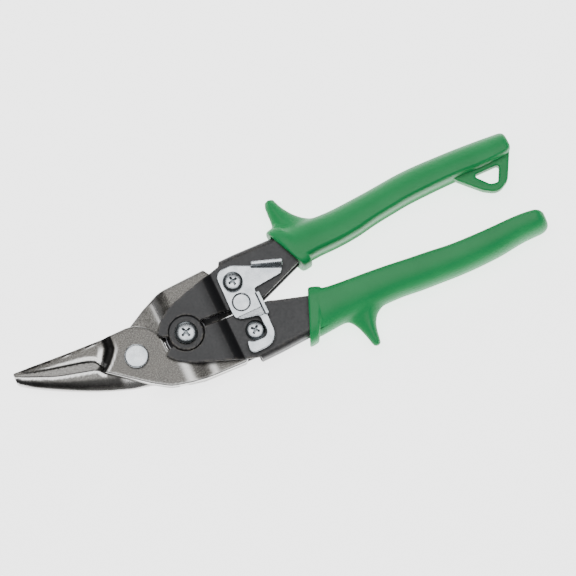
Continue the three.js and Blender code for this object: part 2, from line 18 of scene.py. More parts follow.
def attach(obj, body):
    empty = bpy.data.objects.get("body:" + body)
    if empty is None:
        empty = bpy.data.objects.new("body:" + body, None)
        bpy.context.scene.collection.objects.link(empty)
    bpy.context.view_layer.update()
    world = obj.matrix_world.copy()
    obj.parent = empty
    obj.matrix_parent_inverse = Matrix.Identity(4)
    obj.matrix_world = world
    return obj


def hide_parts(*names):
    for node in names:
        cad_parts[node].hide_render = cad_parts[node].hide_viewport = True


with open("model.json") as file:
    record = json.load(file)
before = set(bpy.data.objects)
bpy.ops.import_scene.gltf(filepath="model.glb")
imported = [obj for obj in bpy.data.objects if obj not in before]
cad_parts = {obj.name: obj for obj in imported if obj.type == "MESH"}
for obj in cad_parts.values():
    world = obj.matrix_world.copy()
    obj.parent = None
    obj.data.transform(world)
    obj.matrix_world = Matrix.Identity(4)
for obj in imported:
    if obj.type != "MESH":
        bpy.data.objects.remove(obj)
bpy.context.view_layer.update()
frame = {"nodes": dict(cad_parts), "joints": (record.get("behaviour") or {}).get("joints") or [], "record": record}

JOINTS = {joint["name"]: joint for joint in frame["joints"]}
MM = 0.001
ORIGIN = np.array(JOINTS["blade_pivot"]["pos_m"])


def place(points):
    """Tool millimetres to frame metres."""
    return np.asarray(points, float) * MM + ORIGIN


def tool_plan(joint):
    """Plan position of a joint in tool millimetres."""
    return (np.array(JOINTS[joint]["pos_m"]) - ORIGIN)[:2] / MM


UPPER_TANG = tool_plan("upper_handle_pivot")
LOWER_TANG = tool_plan("lower_handle_pivot")
HANDLE_PIVOT = np.array([24.6, 0.0])
BLADE_PIVOT = np.array([0.0, 0.0])


# ---- Small maths ------------------------------------------------------------

def smooth(value):
    t = np.clip(value, 0, 1)
    return t * t * (3 - 2 * t)


def mix(a, b, t):
    return a + (b - a) * t


def rising(value, start, length):
    """From 0 at start to 1 a length later."""
    return smooth((value - start) / length)


def falling(value, end, length):
    """From 1 a length before the end to 0 at the end."""
    return smooth((end - value) / length)


def stripe(value, centre, half):
    """1 on a centre line, 0 from half away."""
    return smooth(1 - np.abs(value - centre) / half)


def arc(centre, radius, start, end):
    """Points on an arc, angles in degrees, as corners without rounding."""
    count = max(2, int(abs(end - start) / 6))
    angles = np.radians(np.linspace(start, end, count + 1))
    return [(centre[0] + radius * math.cos(a), centre[1] + radius * math.sin(a), 0) for a in angles]


ROUNDING_STEP = math.radians(7)


def rounded(corners):
    """Outline from corners (x, y, radius), each rounded by an arc in small steps."""
    points = []
    count = len(corners)
    for i, (x, y, wanted) in enumerate(corners):
        corner = np.array([x, y], float)
        if not wanted:
            points.append(corner)
            continue
        back = np.array(corners[i - 1][:2]) - corner
        ahead = np.array(corners[(i + 1) % count][:2]) - corner
        room = 0.49 * min(np.linalg.norm(back), np.linalg.norm(ahead))
        back /= np.linalg.norm(back)
        ahead /= np.linalg.norm(ahead)
        half = math.acos(np.clip(back @ ahead, -1, 1)) / 2
        reach = min(wanted / math.tan(half), room)
        radius = reach * math.tan(half)
        inward = (back + ahead) / np.linalg.norm(back + ahead)
        centre = corner + inward * radius / math.sin(half)
        start = corner + back * reach - centre
        end = corner + ahead * reach - centre
        sweep = math.atan2(start[0] * end[1] - start[1] * end[0], start @ end)
        steps = max(1, int(abs(sweep) / ROUNDING_STEP))
        for k in range(steps + 1):
            c, s = math.cos(sweep * k / steps), math.sin(sweep * k / steps)
            turned = np.array([start[0] * c - start[1] * s, start[0] * s + start[1] * c])
            points.append(centre + turned)
    return np.array(points)


def resampled(points, step, closed=True):
    """The same line with a point about every step."""
    ring = np.vstack([points, points[:1]]) if closed else np.asarray(points, float)
    made = []
    for a, b in zip(ring[:-1], ring[1:]):
        pieces = max(1, round(np.linalg.norm(b - a) / step))
        made.extend(a + (b - a) * k / pieces for k in range(pieces))
    if not closed:
        made.append(ring[-1])
    return np.array(made)


def piece_distance(points, a, b):
    """Distance from each point to one straight piece of a line."""
    along = b - a
    t = np.clip((points - a) @ along / max(along @ along, 1e-12), 0, 1)
    gap = points - a - t[:, None] * along
    return np.hypot(gap[:, 0], gap[:, 1])


def line_distance(points, line, closed=True):
    """Distance from each point to a line of points."""
    starts = line if closed else line[:-1]
    ends = np.roll(line, -1, 0) if closed else line[1:]
    best = np.full(len(points), 1e9)
    for a, b in zip(starts, ends):
        best = np.minimum(best, piece_distance(points, a, b))
    return best


def unit(vectors):
    """Each row scaled to length 1."""
    return vectors / np.linalg.norm(vectors, axis=1)[:, None]


def to_left(ahead):
    """Unit vectors to the left of plan directions."""
    return unit(np.column_stack([-ahead[:, 1], ahead[:, 0]]))


def radius_from(points, centre):
    """Distance of each point from an upright axis."""
    return np.hypot(points[:, 0] - centre[0], points[:, 1] - centre[1])


def inside(points, loop):
    """Whether each point is inside a closed loop."""
    x, y = points[:, 0], points[:, 1]
    hit = np.zeros(len(points), bool)
    for a, b in zip(loop, np.roll(loop, -1, 0)):
        if a[1] == b[1]:
            continue
        crosses = (a[1] > y) != (b[1] > y)
        hit ^= crosses & (x < (b[0] - a[0]) * (y - a[1]) / (b[1] - a[1]) + a[0])
    return hit


def edge_drop(distance, radius):
    """How far a rounded rim has dropped at a distance from its edge."""
    reach = np.clip(radius - distance, 0, radius)
    return radius - np.sqrt(radius ** 2 - reach ** 2)


# ---- Mesh tools -------------------------------------------------------------

def new_piece(name, mesh, body, material, replaced):
    """Puts a finished mesh in the scene on its body, in place of CAD nodes."""
    obj = bpy.data.objects.new(name, mesh)
    bpy.context.scene.collection.objects.link(obj)
    mesh.materials.clear()
    mesh.materials.append(material)
    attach(obj, body)
    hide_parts(*replaced)
    return obj


def shade(mesh, angle=35):
    mesh.polygons.foreach_set("use_smooth", [True] * len(mesh.polygons))
    mesh.set_sharp_from_angle(angle=math.radians(angle))


@contextmanager
def edited(mesh):
    """The mesh as a bmesh, written back afterwards."""
    tool = bmesh.new()
    tool.from_mesh(mesh)
    yield tool
    tool.to_mesh(mesh)
    tool.free()


def joined(name, meshes):
    """One mesh with the faces of several."""
    made = bpy.data.meshes.new(name)
    with edited(made) as tool:
        for mesh in meshes:
            tool.from_mesh(mesh)
    return made


def mesh_from(name, points, faces, angle=35):
    mesh = bpy.data.meshes.new(name)
    mesh.from_pydata(place(points).tolist(), [], faces)
    mesh.validate()
    shade(mesh, angle)
    return mesh


def turned_outward(mesh):
    with edited(mesh) as tool:
        bmesh.ops.recalc_face_normals(tool, faces=tool.faces)
    return mesh


def relief(name, outline, holes, front, back, step, rows=(), rims=(0.06, 0.18, 0.34, 0.5)):
    """Solid plate whose two faces are height functions of (points, edge distance)."""
    loops = [resampled(loop, step * 0.8) for loop in (outline, *holes)]
    low, high = loops[0].min(0), loops[0].max(0)
    xs = np.arange(low[0], high[0], step)
    ys = np.arange(low[1], high[1], step * 0.866)
    gx, gy = np.meshgrid(xs, ys)
    gx = gx + np.where(np.arange(len(ys)) % 2, step / 2, 0)[:, None]
    grid = np.column_stack([gx.ravel(), gy.ravel()])
    extra = [resampled(np.array(row), step * 0.7, closed=False) for row in rows]
    for loop in loops:
        normal = to_left(np.roll(loop, -1, 0) - np.roll(loop, 1, 0))
        extra.extend(loop + normal * rim * side for rim in rims for side in (1, -1))
    near = np.vstack(extra)

    def clearance(points):
        return np.min([line_distance(points, loop) for loop in loops], axis=0)

    def in_domain(points):
        found = inside(points, loops[0])
        for hole in loops[1:]:
            found &= ~inside(points, hole)
        return found

    near = near[in_domain(near)]
    near = near[clearance(near) > min(rims) * 0.9]
    grid = grid[in_domain(grid)]
    grid = grid[clearance(grid) > max(rims) + step * 0.4]
    points = np.vstack([*loops, near, grid])
    edges = []
    offset = 0
    for loop in loops:
        count = len(loop)
        edges.extend((offset + k, offset + (k + 1) % count) for k in range(count))
        offset += count
    flat, _, triangles, *_ = delaunay_2d_cdt([Vector(p) for p in points], edges, [], 0, 1e-5)
    flat = np.array([tuple(p) for p in flat])
    triangles = np.array([t for t in triangles if len(t) == 3])
    triangles = triangles[in_domain(flat[triangles].mean(1))]
    rim_gap = clearance(flat)
    rim_gap[rim_gap < 1e-4] = 0
    used = len(flat)
    top = np.column_stack([flat, front(flat, rim_gap)])
    bottom = np.column_stack([flat, back(flat, rim_gap)])
    seen = {}
    for a, b, c in triangles.tolist():
        for pair in ((a, b), (b, c), (c, a)):
            seen[pair] = True
    sides = [(a, a + used, b + used, b) for a, b in seen if (b, a) not in seen]
    faces = triangles.tolist() + (triangles[:, ::-1] + used).tolist() + sides
    mesh = mesh_from(name, np.vstack([top, bottom]), faces)
    with edited(mesh) as tool:
        loose = [v for v in tool.verts if not v.link_faces]
        bmesh.ops.delete(tool, geom=loose, context="VERTS")
    shade(mesh)
    return mesh


def evaluated(obj):
    """The object's mesh with its modifiers applied, and the object removed."""
    graph = bpy.context.evaluated_depsgraph_get()
    mesh = bpy.data.meshes.new_from_object(obj.evaluated_get(graph))
    bpy.data.objects.remove(obj)
    return mesh


def loose_object(mesh):
    obj = bpy.data.objects.new("work", mesh)
    bpy.context.scene.collection.objects.link(obj)
    return obj


def remeshed(mesh, voxel_mm):
    obj = loose_object(mesh)
    modifier = obj.modifiers.new("remesh", "REMESH")
    modifier.mode = "VOXEL"
    modifier.voxel_size = voxel_mm * MM
    return evaluated(obj)


def combined(mesh, other, operation):
    obj = loose_object(mesh)
    tool = loose_object(other)
    modifier = obj.modifiers.new("cut", "BOOLEAN")
    modifier.operation = operation
    modifier.solver = "EXACT"
    modifier.object = tool
    made = evaluated(obj)
    bpy.data.objects.remove(tool)
    return made


def read_points(mesh):
    """Vertex places in tool millimetres."""
    flat = np.empty(len(mesh.vertices) * 3)
    mesh.vertices.foreach_get("co", flat)
    return (flat.reshape(-1, 3) - ORIGIN) / MM


def write_points(mesh, points):
    mesh.vertices.foreach_set("co", place(points).ravel())
    mesh.update()


def neighbours(mesh):
    """The two ends of every edge."""
    pairs = np.empty(len(mesh.edges) * 2, int)
    mesh.edges.foreach_get("vertices", pairs)
    return pairs.reshape(-1, 2).T


def averaged(values, pairs):
    """Mean value over each point's neighbours."""
    a, b = pairs
    total = np.bincount(a, values[b], len(values)) + np.bincount(b, values[a], len(values))
    return total / np.maximum(np.bincount(np.concatenate([a, b]), minlength=len(values)), 1)


def spread_of(points, pairs):
    """Mean place of each point's neighbours."""
    return np.column_stack([averaged(points[:, axis], pairs) for axis in range(3)])


def relaxed(mesh, rounds, keep=0.53):
    """Smooths a remeshed skin without shrinking it much."""
    pairs = neighbours(mesh)
    points = read_points(mesh)
    for k in range(rounds * 2):
        factor = 0.5 if k % 2 == 0 else -keep
        points = points + (spread_of(points, pairs) - points) * factor
    write_points(mesh, points)


def cad_copy(node):
    return frame["nodes"][node].data.copy()


def turned_mesh(name, centre, profile, sides=72, angle=35):
    """Turned piece from (radius, z) points that start and end on the axis."""
    rings = np.array(profile, float)
    angles = np.linspace(0, 2 * math.pi, sides, endpoint=False)
    points, faces = [], []
    for radius, z in rings[1:-1]:
        for a in angles:
            points.append((centre[0] + radius * math.cos(a), centre[1] + radius * math.sin(a), z))
    first, last = len(points), len(points) + 1
    points.extend([(*centre, rings[0][1]), (*centre, rings[-1][1])])
    for k in range(sides):
        n = (k + 1) % sides
        faces.append((first, n, k))
        for level in range(len(rings) - 3):
            low, high = level * sides, (level + 1) * sides
            faces.append((low + k, low + n, high + n, high + k))
        top = (len(rings) - 3) * sides
        faces.append((top + k, top + n, last))
    return mesh_from(name, points, faces, angle)


def box_mesh(centre, size, turn=0.0, taper=1.0):
    """Box on a centre; its lower end is narrowed by taper."""
    points = []
    c, s = math.cos(turn), math.sin(turn)
    for z in (-0.5, 0.5):
        grow = taper if z < 0 else 1.0
        for x, y in ((-0.5, -0.5), (0.5, -0.5), (0.5, 0.5), (-0.5, 0.5)):
            px, py = x * size[0] * grow, y * size[1] * grow
            plan = (centre[0] + px * c - py * s, centre[1] + px * s + py * c)
            points.append((*plan, centre[2] + z * size[2]))
    faces = [(3, 2, 1, 0), (4, 5, 6, 7), (0, 1, 5, 4), (1, 2, 6, 5), (2, 3, 7, 6), (3, 0, 4, 7)]
    return mesh_from("box", points, faces)


# ---- Materials --------------------------------------------------------------

class Recipe:
    """Builds one node material; lengths are in millimetres of the object."""

    def __init__(self, name):
        self.material = bpy.data.materials.new(name)
        self.material.use_nodes = True
        self.nodes = self.material.node_tree.nodes
        self.links = self.material.node_tree.links
        self.shader = self.nodes["Principled BSDF"]
        self.coordinates = self.nodes.new("ShaderNodeTexCoord").outputs["Object"]

    def add(self, kind, **settings):
        node = self.nodes.new("ShaderNode" + kind)
        for key, value in settings.items():
            setattr(node, key, value)
        return node

    def stretched(self, scale):
        mapping = self.add("Mapping")
        mapping.inputs["Scale"].default_value = scale
        self.links.new(self.coordinates, mapping.inputs["Vector"])
        return mapping.outputs["Vector"]

    def noise(self, size_mm, detail=2.0, roughness=0.5, stretch=None):
        node = self.add("TexNoise")
        node.inputs["Scale"].default_value = 1 / (size_mm * MM)
        node.inputs["Detail"].default_value = detail
        node.inputs["Roughness"].default_value = roughness
        vector = self.stretched(stretch) if stretch else self.coordinates
        self.links.new(vector, node.inputs["Vector"])
        return node.outputs["Fac"]

    def ramp(self, value, stops):
        node = self.add("ValToRGB")
        elements = node.color_ramp.elements
        while len(elements) < len(stops):
            elements.new(0.5)
        for element, (position, color) in zip(elements, stops):
            element.position = position
            level = color if isinstance(color, tuple) else (color, color, color)
            element.color = (*level, 1)
        self.links.new(value, node.inputs["Fac"])
        return node.outputs["Color"]

    def blended(self, a, b, factor, kind="MIX"):
        node = self.add("Mix", data_type="RGBA", blend_type=kind)
        for socket, value in (("Factor", factor), ("A", a), ("B", b)):
            self.feed(node.inputs[socket], value)
        return node.outputs["Result"]

    def feed(self, socket, value):
        if isinstance(value, bpy.types.NodeSocket):
            self.links.new(value, socket)
        elif isinstance(value, tuple):
            socket.default_value = (*value, 1)
        else:
            socket.default_value = value

    def attribute(self, name):
        return self.add("Attribute", attribute_name=name).outputs["Fac"]

    def bump(self, height, strength, depth_mm, normal=None):
        node = self.add("Bump")
        node.inputs["Strength"].default_value = strength
        node.inputs["Distance"].default_value = depth_mm * MM
        self.links.new(height, node.inputs["Height"])
        if normal:
            self.links.new(normal, node.inputs["Normal"])
        return node.outputs["Normal"]

    def finish(self, color, roughness, metallic, normal=None):
        self.feed(self.shader.inputs["Base Color"], color)
        self.feed(self.shader.inputs["Roughness"], roughness)
        self.shader.inputs["Metallic"].default_value = metallic
        if normal:
            self.links.new(normal, self.shader.inputs["Normal"])
        return self.material


def forged_steel():
    """Sand-blasted forged steel: dark mottled skin, bright where it is polished by grinding and where highlights
    are painted, near black where shade is painted.
    """
    r = Recipe("forged_steel")
    grain = r.noise(0.5, 4, 0.75)
    cloud = r.noise(5, 3, 0.6)
    brushed = r.noise(0.8, 2, 0.6, (1.0, 6.0, 1.0))
    pits, middle, peaks = (0.055, 0.052, 0.048), (0.16, 0.155, 0.145), (0.34, 0.33, 0.31)
    speckle = r.ramp(grain, [(0.36, pits), (0.52, middle), (0.66, peaks)])
    tone = r.ramp(cloud, [(0.3, (0.72, 0.71, 0.70)), (0.7, (1.0, 1.0, 1.0))])
    skin = r.blended(speckle, tone, 1.0, "MULTIPLY")
    # The polished colour also stands in for painted highlights: bright lines and bands where light would catch the
    # jaws' bevels and bends.
    polish_and_highlight = r.ramp(brushed, [(0.3, (0.42, 0.415, 0.41)), (0.7, (0.68, 0.675, 0.66))])
    ground = r.attribute("ground")
    color = r.blended(skin, polish_and_highlight, ground)
    # The dark attribute is painted shade and painted dark reflection: near black in the gaps, steps and hollows of
    # the blades.
    color = r.blended(color, (0.02, 0.02, 0.02), r.attribute("dark"))
    rough = r.blended(r.ramp(cloud, [(0.3, 0.36), (0.7, 0.5)]), (0.24, 0.24, 0.24), ground)
    normal = r.bump(grain, 0.35, 0.03)
    return r.finish(color, rough, 1.0, normal)


def black_paint():
    """Satin black paint over folded sheet, rubbed lighter along its edges."""
    r = Recipe("black_paint")
    peel = r.noise(0.9, 2, 0.5)
    cloud = r.noise(12, 2, 0.5)
    rub = r.ramp(r.noise(1.6, 3, 0.6), [(0.42, 0.0), (0.62, 1.0)])
    paint = r.ramp(cloud, [(0.3, (0.018, 0.0185, 0.021)), (0.7, (0.030, 0.0305, 0.033))])
    worn = r.blended((0.0, 0.0, 0.0), r.attribute("wear"), rub)
    color = r.blended(paint, (0.16, 0.145, 0.125), worn)
    # The dark attribute is painted shade: darker paint with less gloss on the front walls' slopes.
    color = r.blended(color, (0.003, 0.003, 0.004), r.attribute("dark"))
    gloss = r.blended((0.5, 0.5, 0.5), (0.12, 0.12, 0.12), r.attribute("dark"))
    r.feed(r.shader.inputs["Specular IOR Level"], gloss)
    rough = r.ramp(peel, [(0.35, 0.42), (0.7, 0.52)])
    return r.finish(color, rough, 0.0, r.bump(peel, 0.12, 0.02))


def green_vinyl():
    """Satin moulded vinyl with a soft, very fine texture."""
    r = Recipe("green_vinyl")
    skin = r.noise(0.5, 2, 0.5)
    cloud = r.noise(18, 2, 0.5)
    color = r.ramp(cloud, [(0.3, (0.012, 0.290, 0.082)), (0.7, (0.015, 0.325, 0.094))])
    rough = r.ramp(skin, [(0.3, 0.40), (0.7, 0.48)])
    r.shader.inputs["Specular IOR Level"].default_value = 0.3
    return r.finish(color, rough, 0.0, r.bump(skin, 0.10, 0.02))


def zinc_plate():
    """Bright zinc plating with a faint blue cast and rolled texture."""
    r = Recipe("zinc_plate")
    fine = r.noise(0.6, 3, 0.6)
    cloud = r.noise(4, 2, 0.5)
    color = r.ramp(cloud, [(0.3, (0.40, 0.43, 0.455)), (0.7, (0.56, 0.585, 0.61))])
    # The dark attribute is painted shade on the cross screws' heads.
    color = r.blended(color, (0.035, 0.045, 0.05), r.attribute("dark"))
    rough = r.ramp(fine, [(0.3, 0.20), (0.7, 0.34)])
    return r.finish(color, rough, 1.0, r.bump(fine, 0.15, 0.02))


def spring_steel():
    """Drawn spring wire, dark grey with lengthwise sheen."""
    r = Recipe("spring_steel")
    fine = r.noise(0.4, 2, 0.6)
    color = r.ramp(fine, [(0.3, (0.20, 0.20, 0.21)), (0.7, (0.38, 0.38, 0.40))])
    return r.finish(color, r.ramp(fine, [(0.3, 0.25), (0.7, 0.4)]), 1.0)


def pale_floor():
    r = Recipe("pale_floor")
    cloud = r.noise(400, 1, 0.5)
    color = r.ramp(cloud, [(0.3, (0.90, 0.90, 0.90)), (0.7, (0.92, 0.92, 0.92))])
    r.shader.inputs["Emission Color"].default_value = (1, 1, 1, 1)
    r.shader.inputs["Emission Strength"].default_value = 2.8
    return r.finish(color, 0.9, 0.0)


SLOT_MATERIAL = {
    "forged_steel": forged_steel(),
    "black_paint": black_paint(),
    "green_vinyl": green_vinyl(),
    "zinc_plate": zinc_plate(),
    "spring_steel": spring_steel(),
}
NODE_SLOT = {part["node"]: part["material_slot"] for part in frame["record"]["subparts"]}

for node in frame["nodes"].values():
    node.data.materials.clear()
    node.data.materials.append(SLOT_MATERIAL[NODE_SLOT[node.name]])


# ---- Blades -----------------------------------------------------------------

PIVOT_HOLLOW = 10.9
DISC_RADIUS = 14
EYE_RADIUS = 6.6
TANG_BORE = 3.3
UPPER_BLADE_BORE = 4.35
LOWER_BLADE_BORE = 4.3
BODY_Z = 5.0
TANG_Z = 3.0
SHEAR_GAP = 0.15
JOGGLE_START_X = 15
THINNING_START_X = 19
THINNING_LENGTH = 10
RIM_RADIUS = 0.9
BLADE_STEP = 0.8
OUTLINE_STEP = 1.5


def tang_end(side):
    """Eye of a tang and the hollow that clears the handle pivot, outer corner first."""
    corners = [
        (46.5, -18.8, 3),
        *arc(LOWER_TANG, EYE_RADIUS, -95, 85),
        (46, -5.6, 3),
        *arc(HANDLE_PIVOT, PIVOT_HOLLOW, -30.9, -170),
    ]
    return [(x, side * y, radius) for x, y, radius in corners]


def circle(centre, radius, count=48):
    angles = np.linspace(0, 2 * math.pi, count, endpoint=False)
    return np.column_stack([centre[0] + radius * np.cos(angles), centre[1] + radius * np.sin(angles)])


def cap_drop(distance, reach, depth):
    """Convex fall towards an edge: depth at the edge, nothing at reach and beyond."""
    t = np.clip(1 - distance / reach, 0, 1)
    return depth * (1 - np.sqrt(np.clip(1 - t * t, 0, 1)))


# The upper jaw in plan: its cutting edge, its top edge, the wall of the pocket behind
# the jaw's face, and the ridge between the face and the ground strip.
UPPER_EDGE_LINE = [(-53.2, 15.6), (-44.6, 11.7), (-36.3, 8.0), (-24.9, 4.7), (-18.8, 2.8), (-16.2, -0.2)]
JAW_TOP_LINE = [(-53.4, 17.1), (-44.6, 16.6), (-36.3, 15.9), (-24.9, 15.1), (-15.6, 14.6), (-5.9, 14)]
POCKET_WALL = [(-16.6, -1.4), (-14.2, 0.2), (-11, 3), (-7.7, 7), (-6.9, 10), (-6.7, 13.7), (-7, 20)]
RIDGE_LINE = [
    (-53.6, 17.2), (-49.2, 15.8), (-40, 12.9), (-32.2, 11), (-24, 9), (-19.6, 7.6), (-17.2, 5.9),
    (-15.6, 2.4), (-14.8, 0.2), (-14.4, -2),
]
# The lower jaw's outer edge in plan.
LOWER_EDGE_LINE = [
    (-53.7, 12.6), (-52.8, 11.3), (-45.2, 6.2), (-33.3, -0.4), (-21.1, -6.3), (-8.3, -11.2), (0.7, -13.4),
]


def curve_through(points, step=0.5):
    """Smooth line through points."""
    pts = np.array(points, float)
    ends = np.vstack([2 * pts[0] - pts[1], pts, 2 * pts[-1] - pts[-2]])
    made = []
    for i in range(len(pts) - 1):
        p0, p1, p2, p3 = ends[i:i + 4]
        count = max(1, round(np.linalg.norm(p2 - p1) / step))
        for k in range(count):
            t = k / count
            made.append(0.5 * (2 * p1 + (p2 - p0) * t + (2 * p0 - 5 * p1 + 4 * p2 - p3) * t * t
                               + (3 * p1 - p0 - 3 * p2 + p3) * t ** 3))
    made.append(pts[-1])
    return np.array(made)


def side_of(points, line):
    """Signed distance from a line: positive on its left."""
    best = np.full(len(points), 1e9)
    sign = np.ones(len(points))
    for a, b in zip(line[:-1], line[1:]):
        distance = piece_distance(points, a, b)
        cross = (b - a)[0] * (points[:, 1] - a[1]) - (b - a)[1] * (points[:, 0] - a[0])
        nearer = distance < best - 1e-9
        best = np.where(nearer, distance, best)
        sign = np.where(nearer, np.sign(cross), sign)
    return best * sign


def store(mesh, name, values):
    layer = mesh.attributes.new(name, "FLOAT", "POINT")
    layer.data.foreach_set("value", np.asarray(values, np.float32))


def offset_line(line, distance):
    """The line moved sideways, positive to its left."""
    return line + to_left(np.gradient(line, axis=0)) * distance


def edge_corners(line):
    """Corners along a smooth line, without rounding."""
    return [(x, y, 0) for x, y in curve_through(line, OUTLINE_STEP)]


UPPER_EDGE = curve_through(UPPER_EDGE_LINE)
LOWER_EDGE = curve_through(LOWER_EDGE_LINE)
JAW_TOP = np.array(JAW_TOP_LINE)
WALL = curve_through(POCKET_WALL)
RIDGE = curve_through(RIDGE_LINE)
FACE_Z = 2.0
STRIP_Z = 0.95
STRIP_SLOPE = 0.12
STRIP_TOP_Z = 1.5
RIDGE_Z = 2.1
RIDGE_FALL = 0.7
WALL_REACH = 5.2


def upper_blade_outline():
    return rounded([
        *edge_corners(UPPER_EDGE_LINE)[::-1],
        (-53.5, 16.3, 0),
        *[(x, y, 0) for x, y in JAW_TOP_LINE],
        *arc(BLADE_PIVOT, DISC_RADIUS, 88, -7.8),
        *tang_end(1)[::-1],
        (45.4, -21.4, 1),
        (43.9, -23.1, 1),
        (20.6, -22.2, 30),
        (8.6, -19.2, 12),
        (0.5, -13.7, 10),
    ])


def upper_jaw_height(p):
    """The jaw in the pocket: its face, and the ground strip below the ridge."""
    from_top = line_distance(p, JAW_TOP, closed=False)
    from_ridge = side_of(p, RIDGE)
    strip = np.minimum(STRIP_Z + STRIP_SLOPE * line_distance(p, UPPER_EDGE, closed=False), STRIP_TOP_Z)
    fillet = 1.3 * rising(p[:, 0], -50, 30) + 0.4
    at_ridge = 0.1 * smooth(1 - from_ridge / fillet)
    at_top = 0.5 * smooth(1 - (from_top - 0.4) / 0.7)
    crest = mix(RIDGE_Z, strip, smooth(-from_ridge / RIDGE_FALL))
    jaw = np.where(from_ridge > 0, FACE_Z + at_ridge + at_top, crest)
    return jaw - edge_drop(np.clip(from_top, 0, 9), 0.5)


def upper_blade_front(p, gap):
    body = mix(BODY_Z, TANG_Z, rising(p[:, 0], THINNING_START_X, THINNING_LENGTH))
    body = body - edge_drop(np.clip(gap, 0, 9), RIM_RADIUS) * 0.75
    from_wall = side_of(p, WALL)
    climb = falling(from_wall, WALL_REACH, WALL_REACH) ** 1.3
    jaw = np.minimum(mix(upper_jaw_height(p), body, climb), body)
    return np.where(from_wall > 0, jaw, body)


def upper_blade_back(p, gap):
    joggle = mix(SHEAR_GAP, -TANG_Z, rising(p[:, 0], JOGGLE_START_X, THINNING_LENGTH))
    return joggle + 0.3 * smooth(1 - gap / 0.5) * (p[:, 0] > 12)


def finish_upper_blade(mesh, outline):
    """Marks the polished edges, the painted highlights and the painted shade of the upper jaw blade."""
    p = read_points(mesh)
    plan = p[:, :2]
    x, y = p[:, 0], p[:, 1]
    from_ridge = side_of(plan, RIDGE)
    from_wall = side_of(plan, WALL)
    from_top = line_distance(plan, JAW_TOP, closed=False)
    gap = line_distance(plan, outline)
    seen = p[:, 2] > 0.3
    in_jaw = seen * rising(from_wall, 0.6, 0.8)
    in_tang = seen * (y < -6)
    foot = mix(2.8, 5.2, smooth(y / 9))

    # Rims along the outline: polished edges of the forging.
    lower_rim = smooth(1 - (gap - 0.2) / 0.9) * (y < 3) * (from_wall < 0)
    upper_rim = smooth(1 - gap / 0.7) * (y >= 3) * (x > -12) * 0.5
    # Painted highlights on the jaw: along the ridge, on the fillet at the foot of the pocket wall, and a line
    # along the top edge.
    reach = mix(0.5, 2.3, rising(x, -50, 32))
    ridge_shine = rising(from_ridge, 0.1, 0.3) * falling(from_ridge, reach, 0.6) * rising(x, -50, 12)
    fillet_shine = rising(from_wall, foot, 0.5) * falling(from_wall, foot + 2.6, 0.9)
    fillet_shine *= (from_ridge > 0) * falling(y, 12.4, 3)
    top_line = stripe(from_top, 0.95, 0.35) * rising(x, -36, 8)
    # A faint polish on the bevel strip below the ridge.
    strip = 0.15 * falling(from_ridge, -0.4, 0.6)
    jaw_shine = np.maximum.reduce([ridge_shine, fillet_shine, top_line, strip])
    # Painted highlights: a bright line on the disc beside the pocket wall, and bright bands across the tang's
    # bends.
    crown = stripe(from_wall, -0.7, 0.7) * falling(y, 12, 8)
    bands = stripe(x, 18, 3.4) * 0.75 + stripe(x, 29.5, 3) * 0.6
    rims = np.maximum(lower_rim, upper_rim)
    shine = np.maximum.reduce([rims * seen, in_jaw * jaw_shine, crown * seen, bands * in_tang])
    store(mesh, "ground", np.clip(shine, 0, 1))

    # Painted shade: a shadow line under the ridge's step, the gap along the cutting edge, the foot of the pocket
    # wall, a line below the top edge, and darker towards the tip.
    step_line = in_jaw * stripe(from_ridge, -0.35, 0.45) * rising(x, -54, 8)
    edge_line = in_jaw * smooth(1 - gap / 0.35) * (from_ridge < 0)
    wall_dark = seen * rising(from_wall, -0.1, 0.5) * falling(from_wall, foot, 0.8) * 0.9
    top_dark = in_jaw * stripe(from_top, 0.35, 0.35) * 0.4
    tip_dark = in_jaw * (from_ridge > 0) * falling(x, -24, 22) * 0.45 * (1 - ridge_shine)
    dark = np.maximum.reduce([step_line, edge_line, wall_dark, top_dark, tip_dark])
    store(mesh, "dark", np.clip(dark, 0, 1))


def upper_jaw_blade():
    outline = upper_blade_outline()
    holes = [circle(BLADE_PIVOT, UPPER_BLADE_BORE), circle(LOWER_TANG, TANG_BORE)]
    ridge_rows = [offset_line(RIDGE, d) for d in (-RIDGE_FALL, -RIDGE_FALL / 2, 0.5, 1, 1.7)]
    wall_rows = [offset_line(WALL, d) for d in (0, 0.6, 1.4, 2.3, 3.4)]
    rows = [RIDGE, *ridge_rows, *wall_rows]
    mesh = relief("upper_jaw_blade", outline, holes, upper_blade_front, upper_blade_back, BLADE_STEP, rows)
    finish_upper_blade(mesh, outline)
    return mesh


def lower_blade_outline():
    return rounded([
        *edge_corners(LOWER_EDGE_LINE),
        *arc(BLADE_PIVOT, DISC_RADIUS, -87, -2)[1:],
        *tang_end(-1)[::-1],
        (45.4, 21.4, 1),
        (43.9, 23.9, 1),
        (20.2, 23, 12),
        (11.7, 19.4, 14),
        (2.4, 14.4, 6),
        (-10, 6, 0),
        (-21.1, 7.4, 0),
        (-33.3, 10.4, 0),
        (-45.2, 14.6, 0),
        (-53.7, 17.4, 0),
    ])


# Stations along the lower jaw, how wide its rounded side is there, how wide its painted highlights and
# shade reach, and how deep its back lies.
JAW_STATIONS = [-53.7, -45, -33, -21, -8]
SIDE_WIDTHS = [2.6, 4.6, 6.6, 9.2, 10.5]
SHADING_WIDTHS = [3.2, 4.8, 6.6, 9.2, 10.5]
DEPTH_STATIONS = [-53.7, -45.2, -33.3, -21.1, -8.3]
JAW_DEPTHS = [-4.6, -5.6, -6.2, -6.2, -5]
SIDE_DROP = 3.5


def jaw_share(p):
    """1 on the lower jaw, 0 on its disc and tang."""
    return falling(p[:, 0], 4, 8)


